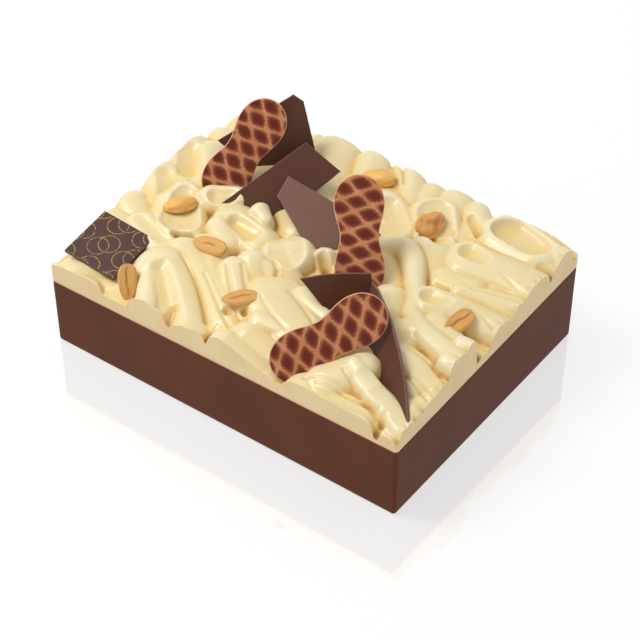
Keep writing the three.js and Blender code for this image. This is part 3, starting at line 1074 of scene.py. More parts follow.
FOLDS = (
    # front left corner, under and beside the square plaque
    Fold(-94, -77, 48, -69, -66, 47, 8, 8),
    Fold(-87, -70, 50, -70, -51, 50, 9, 9),
    Fold(-60, -60, 52, -52, -64, 49, 5, 4),
    # long strokes that run out over the front side
    Fold(-51, -50, 58, -14, -75, 50, 12.5, 10),
    Fold(-55, -55, 56, -40, -75, 54, 4.5, 4.5),
    Fold(-52, -34, 57, 4, -68, 50, 6.5, 7, 3),
    Fold(-34, -37, 55, -14, -49, 53, 5, 4),
    # grooved bulb, bud, round flap and spout in the middle
    Fold(-21, -33, 58, -13, -42, 55, 7.5, 7),
    Fold(-17, -24, 59, -6, -36, 52, 7, 7),
    Fold(-11, -20, 58, -2, -29, 53, 7, 7),
    Fold(-4, -17, 58, 5, -23, 52, 4.5, 4.5),
    Fold(-9.2, -11.9, 60.2, -7.2, -9.3, 60.8, 10, 10),
    Fold(8, -2, 58, 12, -6, 52, 5.5, 5.5),
    # wave and knob before the middle shard, lip before the back plaque
    Fold(-45, -3, 58, -27, -9, 57, 10, 10),
    Fold(-48, -12, 58, -38, -19, 56, 5.5, 6),
    Fold(-36, 5, 61, -32, 3, 59, 4.5, 4),
    Fold(-63, 3, 60, -55, 8, 60.5, 7, 6.5),
    # petals and lumps on the left side
    Fold(-77, -5, 59, -66, -23, 57.5, 11, 13),
    Fold(-79, -32, 57, -60, -37, 55, 8, 8),
    Fold(-97, 5, 58, -88, -10, 54, 9, 9),
    Fold(-99, 27, 60, -86, 10, 56, 12, 11),
    Fold(-89, 31, 60, -75, 10, 57, 8, 8),
    Fold(-97, -32, 53, -83, -36, 54, 6, 6),
    Fold(-97, -20, 56, -87, -25, 54, 7, 7),
    # lobes along the back side
    Fold(-95, 66, 54, -72, 60, 55, 10, 10),
    Fold(-93, 47, 58, -86, 46, 58, 6, 6),
    Fold(-66, 72, 57, -58, 60, 55, 8, 8),
    Fold(-52, 72, 57, -47, 67, 56, 5, 5),
    Fold(-38, 70, 60, -32, 58, 56, 12, 11),
    Fold(-18, 74, 60, -13, 62, 55, 8, 8),
    Fold(-5, 77, 57, 0, 68, 54, 6, 6),
    Fold(3, 78, 59, 16, 58, 55, 6.5, 7),
    Fold(19, 71, 57, 22, 61, 56, 7, 7),
    Fold(33, 71, 58, 35, 60, 56, 9, 8),
    Fold(45, 70, 58, 59, 57, 57, 6, 6),
    # petal, fold and crests right of the middle plaque
    Fold(30, 57, 59.5, 38, 47, 57, 11.5, 10.5),
    Fold(44, 36, 59.5, 58, 16, 53, 9, 8.5),
    Fold(6, 49, 59, 24, 40, 56, 8, 8, 2),
    Fold(27, 14, 57, 50, -5, 54, 9, 8),
    Fold(25, 20, 59, 35, 24, 60.5, 5, 5.5, 1),
    Fold(35, 24, 60.5, 53, 7, 58.5, 5, 4.5, 2),
    Fold(53, 7, 58.5, 63, -11, 57.5, 4.5, 4.5, 1),
    Fold(63, -11, 57.5, 100, -27, 60, 4.5, 5.5, -2.5),
    Fold(48, -8, 58, 57, -17, 54, 8, 7),
    # slippers and ribbon cut off at the right side, bowl and corner fold behind them
    Fold(63, 37, 60, 102, 38, 59, 11, 9.5),
    Fold(72, 15, 57, 101, 24, 56, 3.5, 7),
    Fold(65, 0, 59.5, 98, 8, 54.5, 9, 7.5),
    Fold(75, -9, 57.5, 88, -16, 56.5, 6, 6),
    Fold(67, 62, 61, 87, 59, 60.5, 12, 11),
    Fold(94, 62, 60, 102, 63, 60, 6, 6),
    Fold(87, 46, 57, 99, 56, 57, 5, 5),
    # strokes beside the blade, down to the front right corner
    Fold(67, -23, 58, 73, -31, 54, 7.5, 7),
    Fold(74, -37, 57, 97, -39, 53, 7, 6.5),
    Fold(75, -39, 56, 84, -46, 52, 7, 6),
    Fold(88, -47, 53, 97, -42, 50, 6, 6),
    # ends of strokes along the cut sides
    Fold(-92, -79, 49.5, -74, -79, 50, 6, 6),
    Fold(-44, -77, 53, -33, -78, 52, 5, 4.5),
    Fold(-18, -78, 50.5, -9, -78, 52.5, 4, 4),
    Fold(47, -78, 50, 80, -78, 49.6, 7, 6),
    Fold(62, 78, 55.5, 80, 78, 55.5, 7, 7),
    Fold(86, 78, 55, 97, 78, 51, 6, 5),
    Fold(94, -19, 61, 104, -18, 61, 3.5, 3.5),
    Fold(95, -31, 60, 104, -31, 60.5, 3.5, 3.5),
    # strokes between and behind the plates
    Fold(-45, -25, 56, -34, -36, 55, 8, 8),
    Fold(-60, 30, 56, -45, 50, 56, 10, 10),
    Fold(-30, 46, 56, -20, 32, 55, 10, 9),
    Fold(-14, 46, 56, -2, 30, 55, 8, 8),
    Fold(2, 30, 55, 14, 18, 54, 8, 8),
    Fold(-36, 22, 54, -18, 12, 55, 8, 8),
    Fold(-64, -28, 54, -50, -24, 54, 7, 7),
    Fold(-97, -52, 50, -90, -40, 52, 8, 8),
    Fold(18, 2, 54, 30, -12, 52, 8, 7),
    Fold(38, -20, 52, 52, -33, 54, 8, 9),
    Fold(44, -44, 52, 62, -40, 53, 8, 8),
    Fold(94, -58, 51, 99, -46, 51, 6, 6),
    Fold(60, 22, 56, 74, 22, 56, 7, 7),
    Fold(84, 24, 55, 100, 27, 54, 6, 6),
    # dome and strokes before the front shard
    Fold(4, -39, 57, 27, -46, 56, 15, 13),
    Fold(9, -54, 56, 29, -49, 55, 5, 5),
    Fold(9, -62, 54, 24, -61, 51, 8, 8),
    Fold(5, -74, 54, 28, -71, 47, 8, 8),
    Fold(56, -65, 54, 64, -51, 57, 9, 7),
    Fold(62, -54, 58, 75, -60, 55, 4, 4),
    Fold(50, -72, 51, 78, -66, 49, 9, 9),
    Fold(84, -61, 51, 94, -73, 46, 6, 6),
    Fold(69, -58, 55.5, 98, -68, 50.5, 4.5, 5),
    Fold(14, -29, 57, 33, -35, 56, 3.5, 3.5),
)

SCOOPS = (
    # petals on the left side, and the pit under the one that holds a nut
    Scoop(-75, -6, 4, -66, -20, 4.5, 6.5, 10, 0, 0.7),
    Scoop(-60, -29, 5, -55, -26, 5, 3, 3, 0, 1),
    Scoop(-60, 2, 3.5, -55, 5, 3.5, 5, 5, 0, 0.8),
    Scoop(-80, -33, 1.5, -62, -36, 1.5, 4, 4, 0, 1),
    Scoop(-94, 3, 2, -86, -6, 2, 5, 5, 0, 1),
    Scoop(-96, 24, 2.5, -86, 13, 3, 6, 7, 0, 1),
    # valleys of the long strokes at the front side
    Scoop(-49, -55, 2.5, -24, -75, 2.5, 6, 7, 0, 2.2),
    Scoop(-28, -70, 2, -26, -80, 4, 3, 3, 0, 1.2),
    Scoop(-5, -66, 1, -4, -80, 4, 2.5, 2.5, 0, 1.2),
    # wave, round flap and spout
    Scoop(-42, -7, 3.5, -31, -10, 3.5, 4, 6, 0, 0.9),
    Scoop(-6.4, -13, 2.8, -10, -8, 1.2, 8.6, 8.6, 0, 0.55),
    Scoop(8, -4, 3.5, 12, -7, 3.5, 3, 3, 0, 0.8),
    # petals and mouths right of the middle plaque
    Scoop(11, 46, 3, 22, 38, 3, 5.5, 6.5, 0, 0.9),
    Scoop(31, 56, 4, 40, 47, 4.5, 8.5, 8.5, 0, 0.7),
    Scoop(38, 40, 5, 46, 38, 5, 4.5, 5, 0, 0.6),
    Scoop(47, 62, 3, 58, 54, 4, 2.5, 2.5, 0, 1),
    # bowl, slippers and coil on the right
    Scoop(69, 64, 7, 84, 60, 7, 9.5, 8.5, 0, 0.6),
    Scoop(62, 38, 4.2, 70, 37, 2.2, 6.2, 5.2, 0, 0.9),
    Scoop(65, 1, 4.2, 72, 2, 2.2, 5.6, 4.6, 0, 0.9),
    Scoop(65, -23, 1.8, 69, -26, 1.8, 5, 4.6, 0, 0.8),
    Scoop(94, 49, 1.5, 103, 50, 4, 2.5, 2.5, 0, 1),
    Scoop(95, -12, 0.6, 104, -13, 3, 2.5, 2.5, 0, 1),
    Scoop(94, 17, 0.2, 104, 18, 2.5, 2.5, 2.5, 0, 1),
    Scoop(93, -55, 0.2, 104, -56, 2.5, 2.5, 2.5, 0, 1),
    # the deep groove beside the front corner
    Scoop(88, -70, 1.5, 90, -80, 5, 2.2, 2.5, 0, 1.2),
)

CREASES = (
    # along the long strokes at the front side
    Scoop(-47, -42, 1.2, -12, -66, 1.6, 1.1, 1.3, 1.5, 1.2),
    Scoop(-31, -44, 1.0, -1, -64, 1.4, 1.0, 1.2, 0, 1.2),
    # grooves of the bulb, and the curl of the bud
    Scoop(-24, -35, 1.2, -13, -47, 1.6, 1.2, 1.6, 0, 1.2),
    Scoop(-18, -31, 1.0, -8, -43, 1.4, 1.2, 1.4, 0, 1.2),
    Scoop(-12, -21, 1.6, -3, -26, 1.8, 1.3, 1.3, 2.5, 1.0),
    # along the dome before the front shard
    Scoop(10, -33, 0.8, 33, -45, 1.0, 1.2, 1.2, 1.5, 1.2),
    Scoop(2, -44, 0.8, 24, -53, 1.0, 1.2, 1.2, -1.0, 1.2),
    # across the fan before the front plaque
    Scoop(54, -72, 1.0, 84, -68, 1.8, 1.0, 1.4, 1.5, 1.1),
    Scoop(60, -60, 1.2, 90, -72, 1.6, 1.0, 1.4, 0, 1.1),
    # along the slippers and the ribbon
    Scoop(80, 34, 0.1, 100, 28, 1.0, 1.0, 1.6, -1.0, 1.3),
    Scoop(79, 5, 0.1, 98, 3, 1.4, 1.2, 1.4, 1.0, 1.2),
    Scoop(76, 17, 1.2, 99, 24, 1.4, 1.0, 1.2, 0, 1.1),
    # pits at the front of the nut with the raised rim, and beside the petal that holds a nut
    Scoop(-9, -56, 3.0, -7, -57, 3.0, 1.8, 1.8, 0, 0.8),
    Scoop(-2, -53, 3.5, 0, -54, 3.5, 1.8, 1.8, 0, 0.8),
    Scoop(-60, -28, 2.5, -55, -26, 2.5, 2.2, 2.2, 0, 0.7),
    # gaps between the fins at the back
    Scoop(-3, 77, 2.8, 4.5, 66.8, 2.2, 1.0, 1.1, 0, 0.9),
    Scoop(-10, 77, 2.0, -1, 68, 1.4, 0.9, 0.9, 0, 1.0),
    # the flat face of the column, and the fan's upper pleat
    Scoop(70, -58.3, 0.9, 97, -67.6, 1.4, 3.9, 4.5, 0, 1.0),
    Scoop(47.5, -72, 1.0, 74, -65, 1.3, 1.0, 1.1, 1.0, 1.1),
    # beside the blade
    Scoop(76, -33, 1.2, 97, -37, 1.4, 1.1, 1.3, 1.0, 1.1),
    Scoop(82, -46, 1.2, 98, -50, 1.4, 1.1, 1.3, 0, 1.1),
)


class CreamFace(Enum):
    """The material slot of each face of the cream."""

    TOP = 0
    CUT = 1


@dataclass(frozen=True)
class CreamLayer:
    """The cream: cut straight at the block's sides, its top a fine grid over the folds."""

    block: Block
    folds: tuple[Fold, ...] = FOLDS
    scoops: tuple[Scoop, ...] = SCOOPS
    creases: tuple[Scoop, ...] = CREASES
    body: FoldBody = FoldBody()
    bed: CornerHeights = CornerHeights(44.5, 44, 50, 50)
    bed_rise: float = 4.0
    bed_ramp: float = 18.0
    wander_reach: float = 0.6
    wander_length: float = 6.5
    wander_phases: Pair = (0.7, 4.1)
    wander_bends: Pair = (11.0, 9.0)
    tooth_pitch: float = 5.2
    tooth_shift: float = 0.4
    tooth_shift_length: float = 7.0
    tooth_depth: float = 1.3
    tooth_reach: float = 3.0
    grid: float = 0.6
    softening: float = 0.38
    # reaches of the masks that place the painted shade and the painted highlight on the cream
    crease_reach: float = 1.1
    mark_softening: float = 0.55
    valley_reach: float = 4.5
    blur_extent: float = 2.5
    wall_rings: int = 8

    def top_finish(self) -> FoldedCreamFinish:
        """The smooth, softly shining top, with painted highlight and painted shade in its colour.

        Returns:
            The finish.
        """
        return FoldedCreamFinish(
            "folded cream",
            colour=from_srgb(228, 210, 160),
            cloud=from_srgb(227, 205, 147),
            cloud_size=18.0,
            roughness=0.31,
            specular=0.4,
            coat=0.12,
            coat_roughness=0.12,
            subsurface=0.4,
            subsurface_radius=(1.0, 0.8, 0.45),
            subsurface_scale=1.8,
            relief_broad=5.0,
            relief_fine=0.9,
            relief_fine_share=0.2,
            relief_depth=0.1,
        )

    def cut_finish(self) -> Finish:
        """The dull tan of the cut side.

        Returns:
            The finish.
        """
        return Finish(
            "cut cream",
            colour=from_srgb(225, 201, 156),
            cloud=from_srgb(217, 190, 142),
            cloud_size=16.0,
            roughness=0.55,
            specular=0.25,
            subsurface=0.2,
            subsurface_scale=1.5,
            relief_broad=5.0,
            relief_fine=0.5,
            relief_fine_share=0.5,
            relief_depth=0.08,
        )

    def height(self, x: np.ndarray, y: np.ndarray) -> np.ndarray:
        """The height of the top before it is softened: bed, folds, scoops and the torn right edge.

        Args:
            x: the places along the block.
            y: the places across it.

        Returns:
            The heights.
        """
        block = self.block
        inside = np.minimum(block.length / 2 - np.abs(x), block.width / 2 - np.abs(y))
        top = self.bed.at(block, x, y) + self.bed_rise * smooth_step(inside / self.bed_ramp)
        x, y = self.wander(x, y)
        for fold in self.folds:
            top = np.maximum(top, fold.top(x, y, self.body))
        for scoop in (*self.scoops, *self.creases):
            top = top - scoop.depth(x, y)
        tooth = (y / self.tooth_pitch + self.tooth_shift * np.sin(y / self.tooth_shift_length)) % 1.0
        torn = 1 - smooth_step((block.length / 2 - x) / self.tooth_reach)
        return top - self.tooth_depth * torn * tooth**2

    def wander(self, x: np.ndarray, y: np.ndarray) -> tuple[np.ndarray, np.ndarray]:
        """Shifts places a little, so that no fold runs quite straight or evenly wide.

        Args:
            x: the places along the block.
            y: the places across it.

        Returns:
            The shifted places.
        """
        shift_x = np.sin(y / self.wander_length + self.wander_phases[0] + np.sin(x / self.wander_bends[0]))
        shift_y = np.sin(x / self.wander_length + self.wander_phases[1] + np.sin(y / self.wander_bends[1]))
        return x + self.wander_reach * shift_x, y + self.wander_reach * shift_y

    def blur(self, heights: np.ndarray, distance: float) -> np.ndarray:
        """Blurs a grid of heights.

        Args:
            heights: the grid.
            distance: the blur's reach.

        Returns:
            The blurred grid, as if its edges went on level.
        """
        reach = distance / self.grid
        half = max(1, math.ceil(self.blur_extent * reach))
        weights = np.exp(-0.5 * (np.arange(-half, half + 1) / reach) ** 2)
        weights /= weights.sum()
        result = heights
        for axis in (0, 1):
            pad = [(half, half) if side == axis else (0, 0) for side in (0, 1)]
            padded = np.pad(result, pad, mode="edge")
            result = np.apply_along_axis(lambda line: np.convolve(line, weights, "valid"), axis, padded)
        return result

    def marks(self, heights: np.ndarray) -> dict[str, np.ndarray]:
        """Marks where the top dips in, to place the painted shade and the painted highlight on the cream.

        Args:
            heights: the grid of the top's heights.

        Returns:
            How far each point lies under those close by, which places the painted shade in creases, and
            further round, as valley, which places the painted shade in valleys and pits and the painted
            highlight on crests.
        """
        sharpness = self.blur(heights, self.crease_reach) - heights
        return {
            "crease_shade": self.blur(sharpness, self.mark_softening),
            "valley": self.blur(heights, self.valley_reach) - heights,
        }

    def walls(self, rim: np.ndarray) -> list[np.ndarray]:
        """Steps the points round the top down to the gap over the base.

        Args:
            rim: those points, one a row.

        Returns:
            The rings of the cut sides, from the top down.
        """
        foot = self.block.base_top(rim[:, 0], rim[:, 1]) + self.block.layer_gap
        rings = []
        for ring in range(1, self.wall_rings + 1):
            wall = rim.copy()
            wall[:, 2] += (foot - wall[:, 2]) * (ring / self.wall_rings)
            rings.append(wall)
        return rings

    def side_faces(self, rim: np.ndarray, first: int) -> list[Sequence[int]]:
        """Joins the points round the top to the rings under them, and closes the underside.

        Args:
            rim: the numbers of the points round the top.
            first: the number of the first point of the first ring.

        Returns:
            The faces.
        """
        count = len(rim)
        faces: list[Sequence[int]] = []
        for side in range(count):
            after = (side + 1) % count
            faces.append((rim[side], first + side, first + after, rim[after]))
        for low_right, low_left, high_left, high_right in join_rings(self.wall_rings, count, first):
            faces.append((low_right, high_right, high_left, low_left))
        end = first + self.wall_rings * count
        faces.append(tuple(range(end - count, end))[::-1])
        return faces

    def build(self, effects: Effects) -> bpy.types.Object:
        """Builds the grid of the top, the cut sides under it and the underside.

        Args:
            effects: the shared effects.

        Returns:
            The piece.
        """
        block = self.block
        columns = round(block.length / self.grid) + 1
        rows = round(block.width / self.grid) + 1
        flat_x, flat_y = np.meshgrid(
            np.linspace(-block.length / 2, block.length / 2, columns),
            np.linspace(-block.width / 2, block.width / 2, rows),
        )
        x, y = block.round_corners(flat_x, flat_y)
        heights = self.blur(self.height(x, y), self.softening)
        top = np.column_stack([x.ravel(), y.ravel(), heights.ravel()])
        number = np.arange(rows * columns).reshape(rows, columns)
        corners = [number[:-1, :-1], number[:-1, 1:], number[1:, 1:], number[1:, :-1]]
        cells = np.stack(corners, axis=-1).reshape(-1, 4)
        rim = np.concatenate([number[0, :-1], number[:-1, -1], number[-1, :0:-1], number[:0:-1, 0]])
        points = np.vstack([top, *self.walls(top[rim])])
        faces = [*cells.tolist(), *self.side_faces(rim, len(top))]
        slots = np.full(len(faces), CreamFace.CUT.value)
        slots[: len(cells)] = CreamFace.TOP.value
        sharp = np.zeros(len(points), dtype=bool)
        sharp[rim] = True
        below = np.zeros(len(points) - len(top))
        marks = {name: np.concatenate([mark.ravel(), below]) for name, mark in self.marks(heights).items()}
        piece = MeshPiece("cream_folds", points, faces, slots=slots, marks=marks, sharp_ring=sharp)
        materials = [self.top_finish().material(effects), self.cut_finish().material(effects)]
        return piece.link(materials, "cream", ["cream_layer"])


# ---------------------------------------------------------------------------------------------
# Chocolate plates
# ---------------------------------------------------------------------------------------------


@dataclass(frozen=True)
class Plate:
    """A flat plate with rounded edges, whose printed or shown face lies in its local plane z = 0."""

    name: str
    pose: Pose
    thickness: float
    bevel: float = 0.35
    bevel_rings: int = 3
    corner_limit: float = 0.6

    def outline(self) -> np.ndarray:
        """The outline against the clock, one point a row."""
        raise NotImplementedError

    def slot(self) -> str:
        """The name of the material slot."""
        raise NotImplementedError

    def finish(self) -> Finish:
        """What the plate is made of."""
        raise NotImplementedError

    def inset(self, outline: np.ndarray, distance: float) -> np.ndarray:
        """Moves an outline's points in, square to the outline.

        Args:
            outline: the points, one a row.
            distance: how far in they go.

        Returns:
            The moved points.
        """
        before = np.roll(outline, 1, axis=0)
        after = np.roll(outline, -1, axis=0)
        into = (outline - before) / np.linalg.norm(outline - before, axis=1)[:, None]
        out = (after - outline) / np.linalg.norm(after - outline, axis=1)[:, None]
        normal = np.column_stack([-(into + out)[:, 1], (into + out)[:, 0]])
        normal /= np.linalg.norm(normal, axis=1)[:, None]
        square = np.abs(normal[:, 0] * -into[:, 1] + normal[:, 1] * into[:, 0])
        return outline + normal * (distance / np.maximum(self.corner_limit, square))[:, None]

    def build(self, effects: Effects) -> bpy.types.Object:
        """Builds the rings round the edge and closes both faces.

        Args:
            effects: the shared effects.

        Returns:
            The piece.
        """
        outline = self.outline()
        rings = []
        for step in range(self.bevel_rings + 1):
            angle = step / self.bevel_rings * math.pi / 2
            rings.append((self.bevel * (1 - math.sin(angle)), -self.bevel * (1 - math.cos(angle))))
        rings += [(inset, -self.thickness - depth) for inset, depth in reversed(rings)]
        layers = []
        for inset, depth in rings:
            ring = self.inset(outline, inset)
            layers.append(np.column_stack([ring, np.full(len(ring), depth)]))
        local = np.vstack(layers)
        count = len(outline)
        faces: list[Sequence[int]] = [face[::-1] for face in join_rings(len(rings), count)]
        faces.append(tuple(range(count)))
        faces.append(tuple(range(len(local) - count, len(local)))[::-1])
        ring_number = np.repeat(np.arange(len(rings)), count)
        sharp = (ring_number == 0) | (ring_number == len(rings) - 1)
        marks = {
            "place": local,
            # rim marks the edge faces, which get the painted edge highlight
            "rim": ((ring_number > 0) & (ring_number < len(rings) - 1)).astype(float),
            "front": (ring_number <= 1).astype(float),
        }
        points = self.pose.place(local)
        piece = MeshPiece(f"{self.name}_chocolate", points, faces, marks=marks, sharp_ring=sharp)
        return piece.link([self.finish().material(effects)], self.slot(), [self.name])


@dataclass(frozen=True)
class ChocolateShard(Plate):
    """A broken plate of dark chocolate: straight cuts whose edges wander a little."""

    corners: tuple[Pair, ...] = ()
    thickness: float = 1.8
    bevel: float = 0.25
    break_step: float = 1.4
    break_depth: float = 0.09
    # pale picks the paler finish, part of whose colour is a painted reflection
    pale: bool = False
    seed: int = 1

    def outline(self) -> np.ndarray:
        """Joins the corners by cuts that wander a little.

        Returns:
            The points, one a row.
        """
        corners = np.array(self.corners, dtype=float)
        following = np.roll(corners, -1, axis=0)
        doubled_area = np.sum(corners[:, 0] * following[:, 1] - following[:, 0] * corners[:, 1])
        if doubled_area < 0:
            corners = corners[::-1]
        rng = np.random.default_rng(self.seed)
        points = []
        for start, end in zip(corners, np.roll(corners, -1, axis=0)):
            run = end - start
            length = float(np.linalg.norm(run))
            count = max(1, round(length / self.break_step))
            across = np.array([-run[1], run[0]]) / length
            for step in range(count):
                wander = self.break_depth * rng.uniform(0.0, 1.0) if step else 0.0
                points.append(start + run * step / count + across * wander)
        return np.array(points)

    def slot(self) -> str:
        """The name of the material slot."""
        return "pale_chocolate" if self.pale else "dark_chocolate"

    def finish(self) -> Finish:
        """Plain chocolate, dark or of the paler tone, which is partly a painted reflection of the bright
        surroundings.

        Returns:
            The finish.
        """
        if self.pale:
            # paler, greyer colour: partly a paler chocolate and partly a painted reflection of the bright
            # surroundings on this flatter-lying shard
            return PlateFinish(
                "pale shard chocolate",
                colour=from_srgb(114, 80, 66),
                cloud=from_srgb(108, 74, 60),
                cloud_size=22.0,
                roughness=0.38,
                specular=0.5,
                relief_broad=10.0,
                relief_depth=0.03,
                # painted highlight on the edge faces
                edge=from_srgb(140, 104, 96),
            )
        return PlateFinish(
            "dark shard chocolate",
            colour=from_srgb(88, 51, 36),
            cloud=from_srgb(82, 47, 32),
            cloud_size=22.0,
            roughness=0.36,
            specular=0.3,
            relief_broad=10.0,
            relief_depth=0.04,
            # painted highlight on the edge faces
            edge=from_srgb(138, 98, 84),
        )


@dataclass(frozen=True)
class PeanutPlaque(Plate):
    """A plaque cut in the outline of a whole peanut: an oval of Cassini."""

    thickness: float = 2.4
    bevel: float = 0.5
    half_length: float = 28.85
    half_waist: float = 9.0
    outline_steps: int = 120
    print_origin: Pair = (0.0, 0.0)

    def outline(self) -> np.ndarray:
        """Draws the oval, long along the local X.

        Returns:
            The points, one a row.
        """
        reach = (self.half_length**2 + self.half_waist**2) / 2
        focus = (self.half_length**2 - self.half_waist**2) / 2
        angle = 2 * math.pi * np.arange(self.outline_steps) / self.outline_steps
        root = np.sqrt(reach**2 - (focus * np.sin(2 * angle)) ** 2)
        radius = np.sqrt(focus * np.cos(2 * angle) + root)
        return np.column_stack([radius * np.cos(angle), radius * np.sin(angle)])

    def slot(self) -> str:
        """The name of the material slot."""
        return "printed_plaque"

    def finish(self) -> LatticePrintFinish:
        """Milk chocolate with its print.

        Returns:
            The finish.
        """
        return LatticePrintFinish(
            f"{self.name} print",
            colour=from_srgb(198, 134, 94),
            cloud=from_srgb(178, 110, 72),
            cloud_size=6.0,
            cloud_amount=0.6,
            roughness=0.45,
            specular=0.16,
            relief_broad=3.0,
            relief_fine=0.5,
            relief_depth=0.05,
            # painted highlight on the edge faces
            edge=from_srgb(222, 170, 138),
            edge_highlight_amount=0.75,
            origin=self.print_origin,
        )


@dataclass(frozen=True)
class SquarePlaque(Plate):
    """The small square plaque."""

    side: float = 30.0
    thickness: float = 1.8
    bevel: float = 0.2
    points_per_side: int = 6

    def outline(self) -> np.ndarray:
        """Draws the square, with a few points on each side.

        Returns:
            The points, one a row.
        """
        reach = self.side / 2
        corners = np.array([(-reach, -reach), (reach, -reach), (reach, reach), (-reach, reach)])
        shares = np.arange(self.points_per_side) / self.points_per_side
        sides = [a + (b - a) * shares[:, None] for a, b in zip(corners, np.roll(corners, -1, axis=0))]
        return np.vstack(sides)

    def slot(self) -> str:
        """The name of the material slot."""
        return "square_plaque"

    def finish(self) -> RingPrintFinish:
        """Dark chocolate with its gold print.

        Returns:
            The finish.
        """
        return RingPrintFinish(
            "square plaque print",
            colour=from_srgb(76, 49, 42),
            cloud=from_srgb(68, 44, 38),
            cloud_size=9.0,
            roughness=0.38,
            specular=0.4,
            relief_depth=0.03,
            # painted highlight on the edge faces
            edge=from_srgb(96, 64, 58),
            edge_highlight_amount=0.4,
        )


# ---------------------------------------------------------------------------------------------
# Peanuts
# ---------------------------------------------------------------------------------------------


@dataclass(frozen=True)
class Wrinkle:
    """One set of ridges on a nut: how strong it is, how many go round and how they turn along it."""

    strength: float
    count: int
    turn: float


@dataclass(frozen=True)
class NutSkin:
    """The unevenness of a nut's outside and of its inner face."""

    wrinkles: tuple[Wrinkle, ...] = (Wrinkle(1.0, 3, 2.5), Wrinkle(0.7, 5, -4.0), Wrinkle(0.5, 8, 7.0))
    side_depth: float = 0.018
    dome_depth: float = 0.045
    face_depth: float = 0.08
    waist_depth: float = 0.04
    waist_turn: float = 4.0
    end_power: float = 0.42
    rim_place: float = 0.8
    rim_width: float = 0.13
    rim_height: float = 0.2
    face_hollow: float = 0.28
    seam_bends: tuple[Pair, Pair] = ((0.5, 2.6), (0.22, 8.5))


@dataclass(frozen=True)
class Toasting:
    """How brown a nut is where the oven's heat reached it most."""

    seam: float = 0.6
    tip: float = 0.4
    tip_start: float = 0.9
    tip_length: float = 0.1
    rim: float = 0.2
    hollow: float = 0.42
    contrast: float = 1.4
    end: float = 0.5


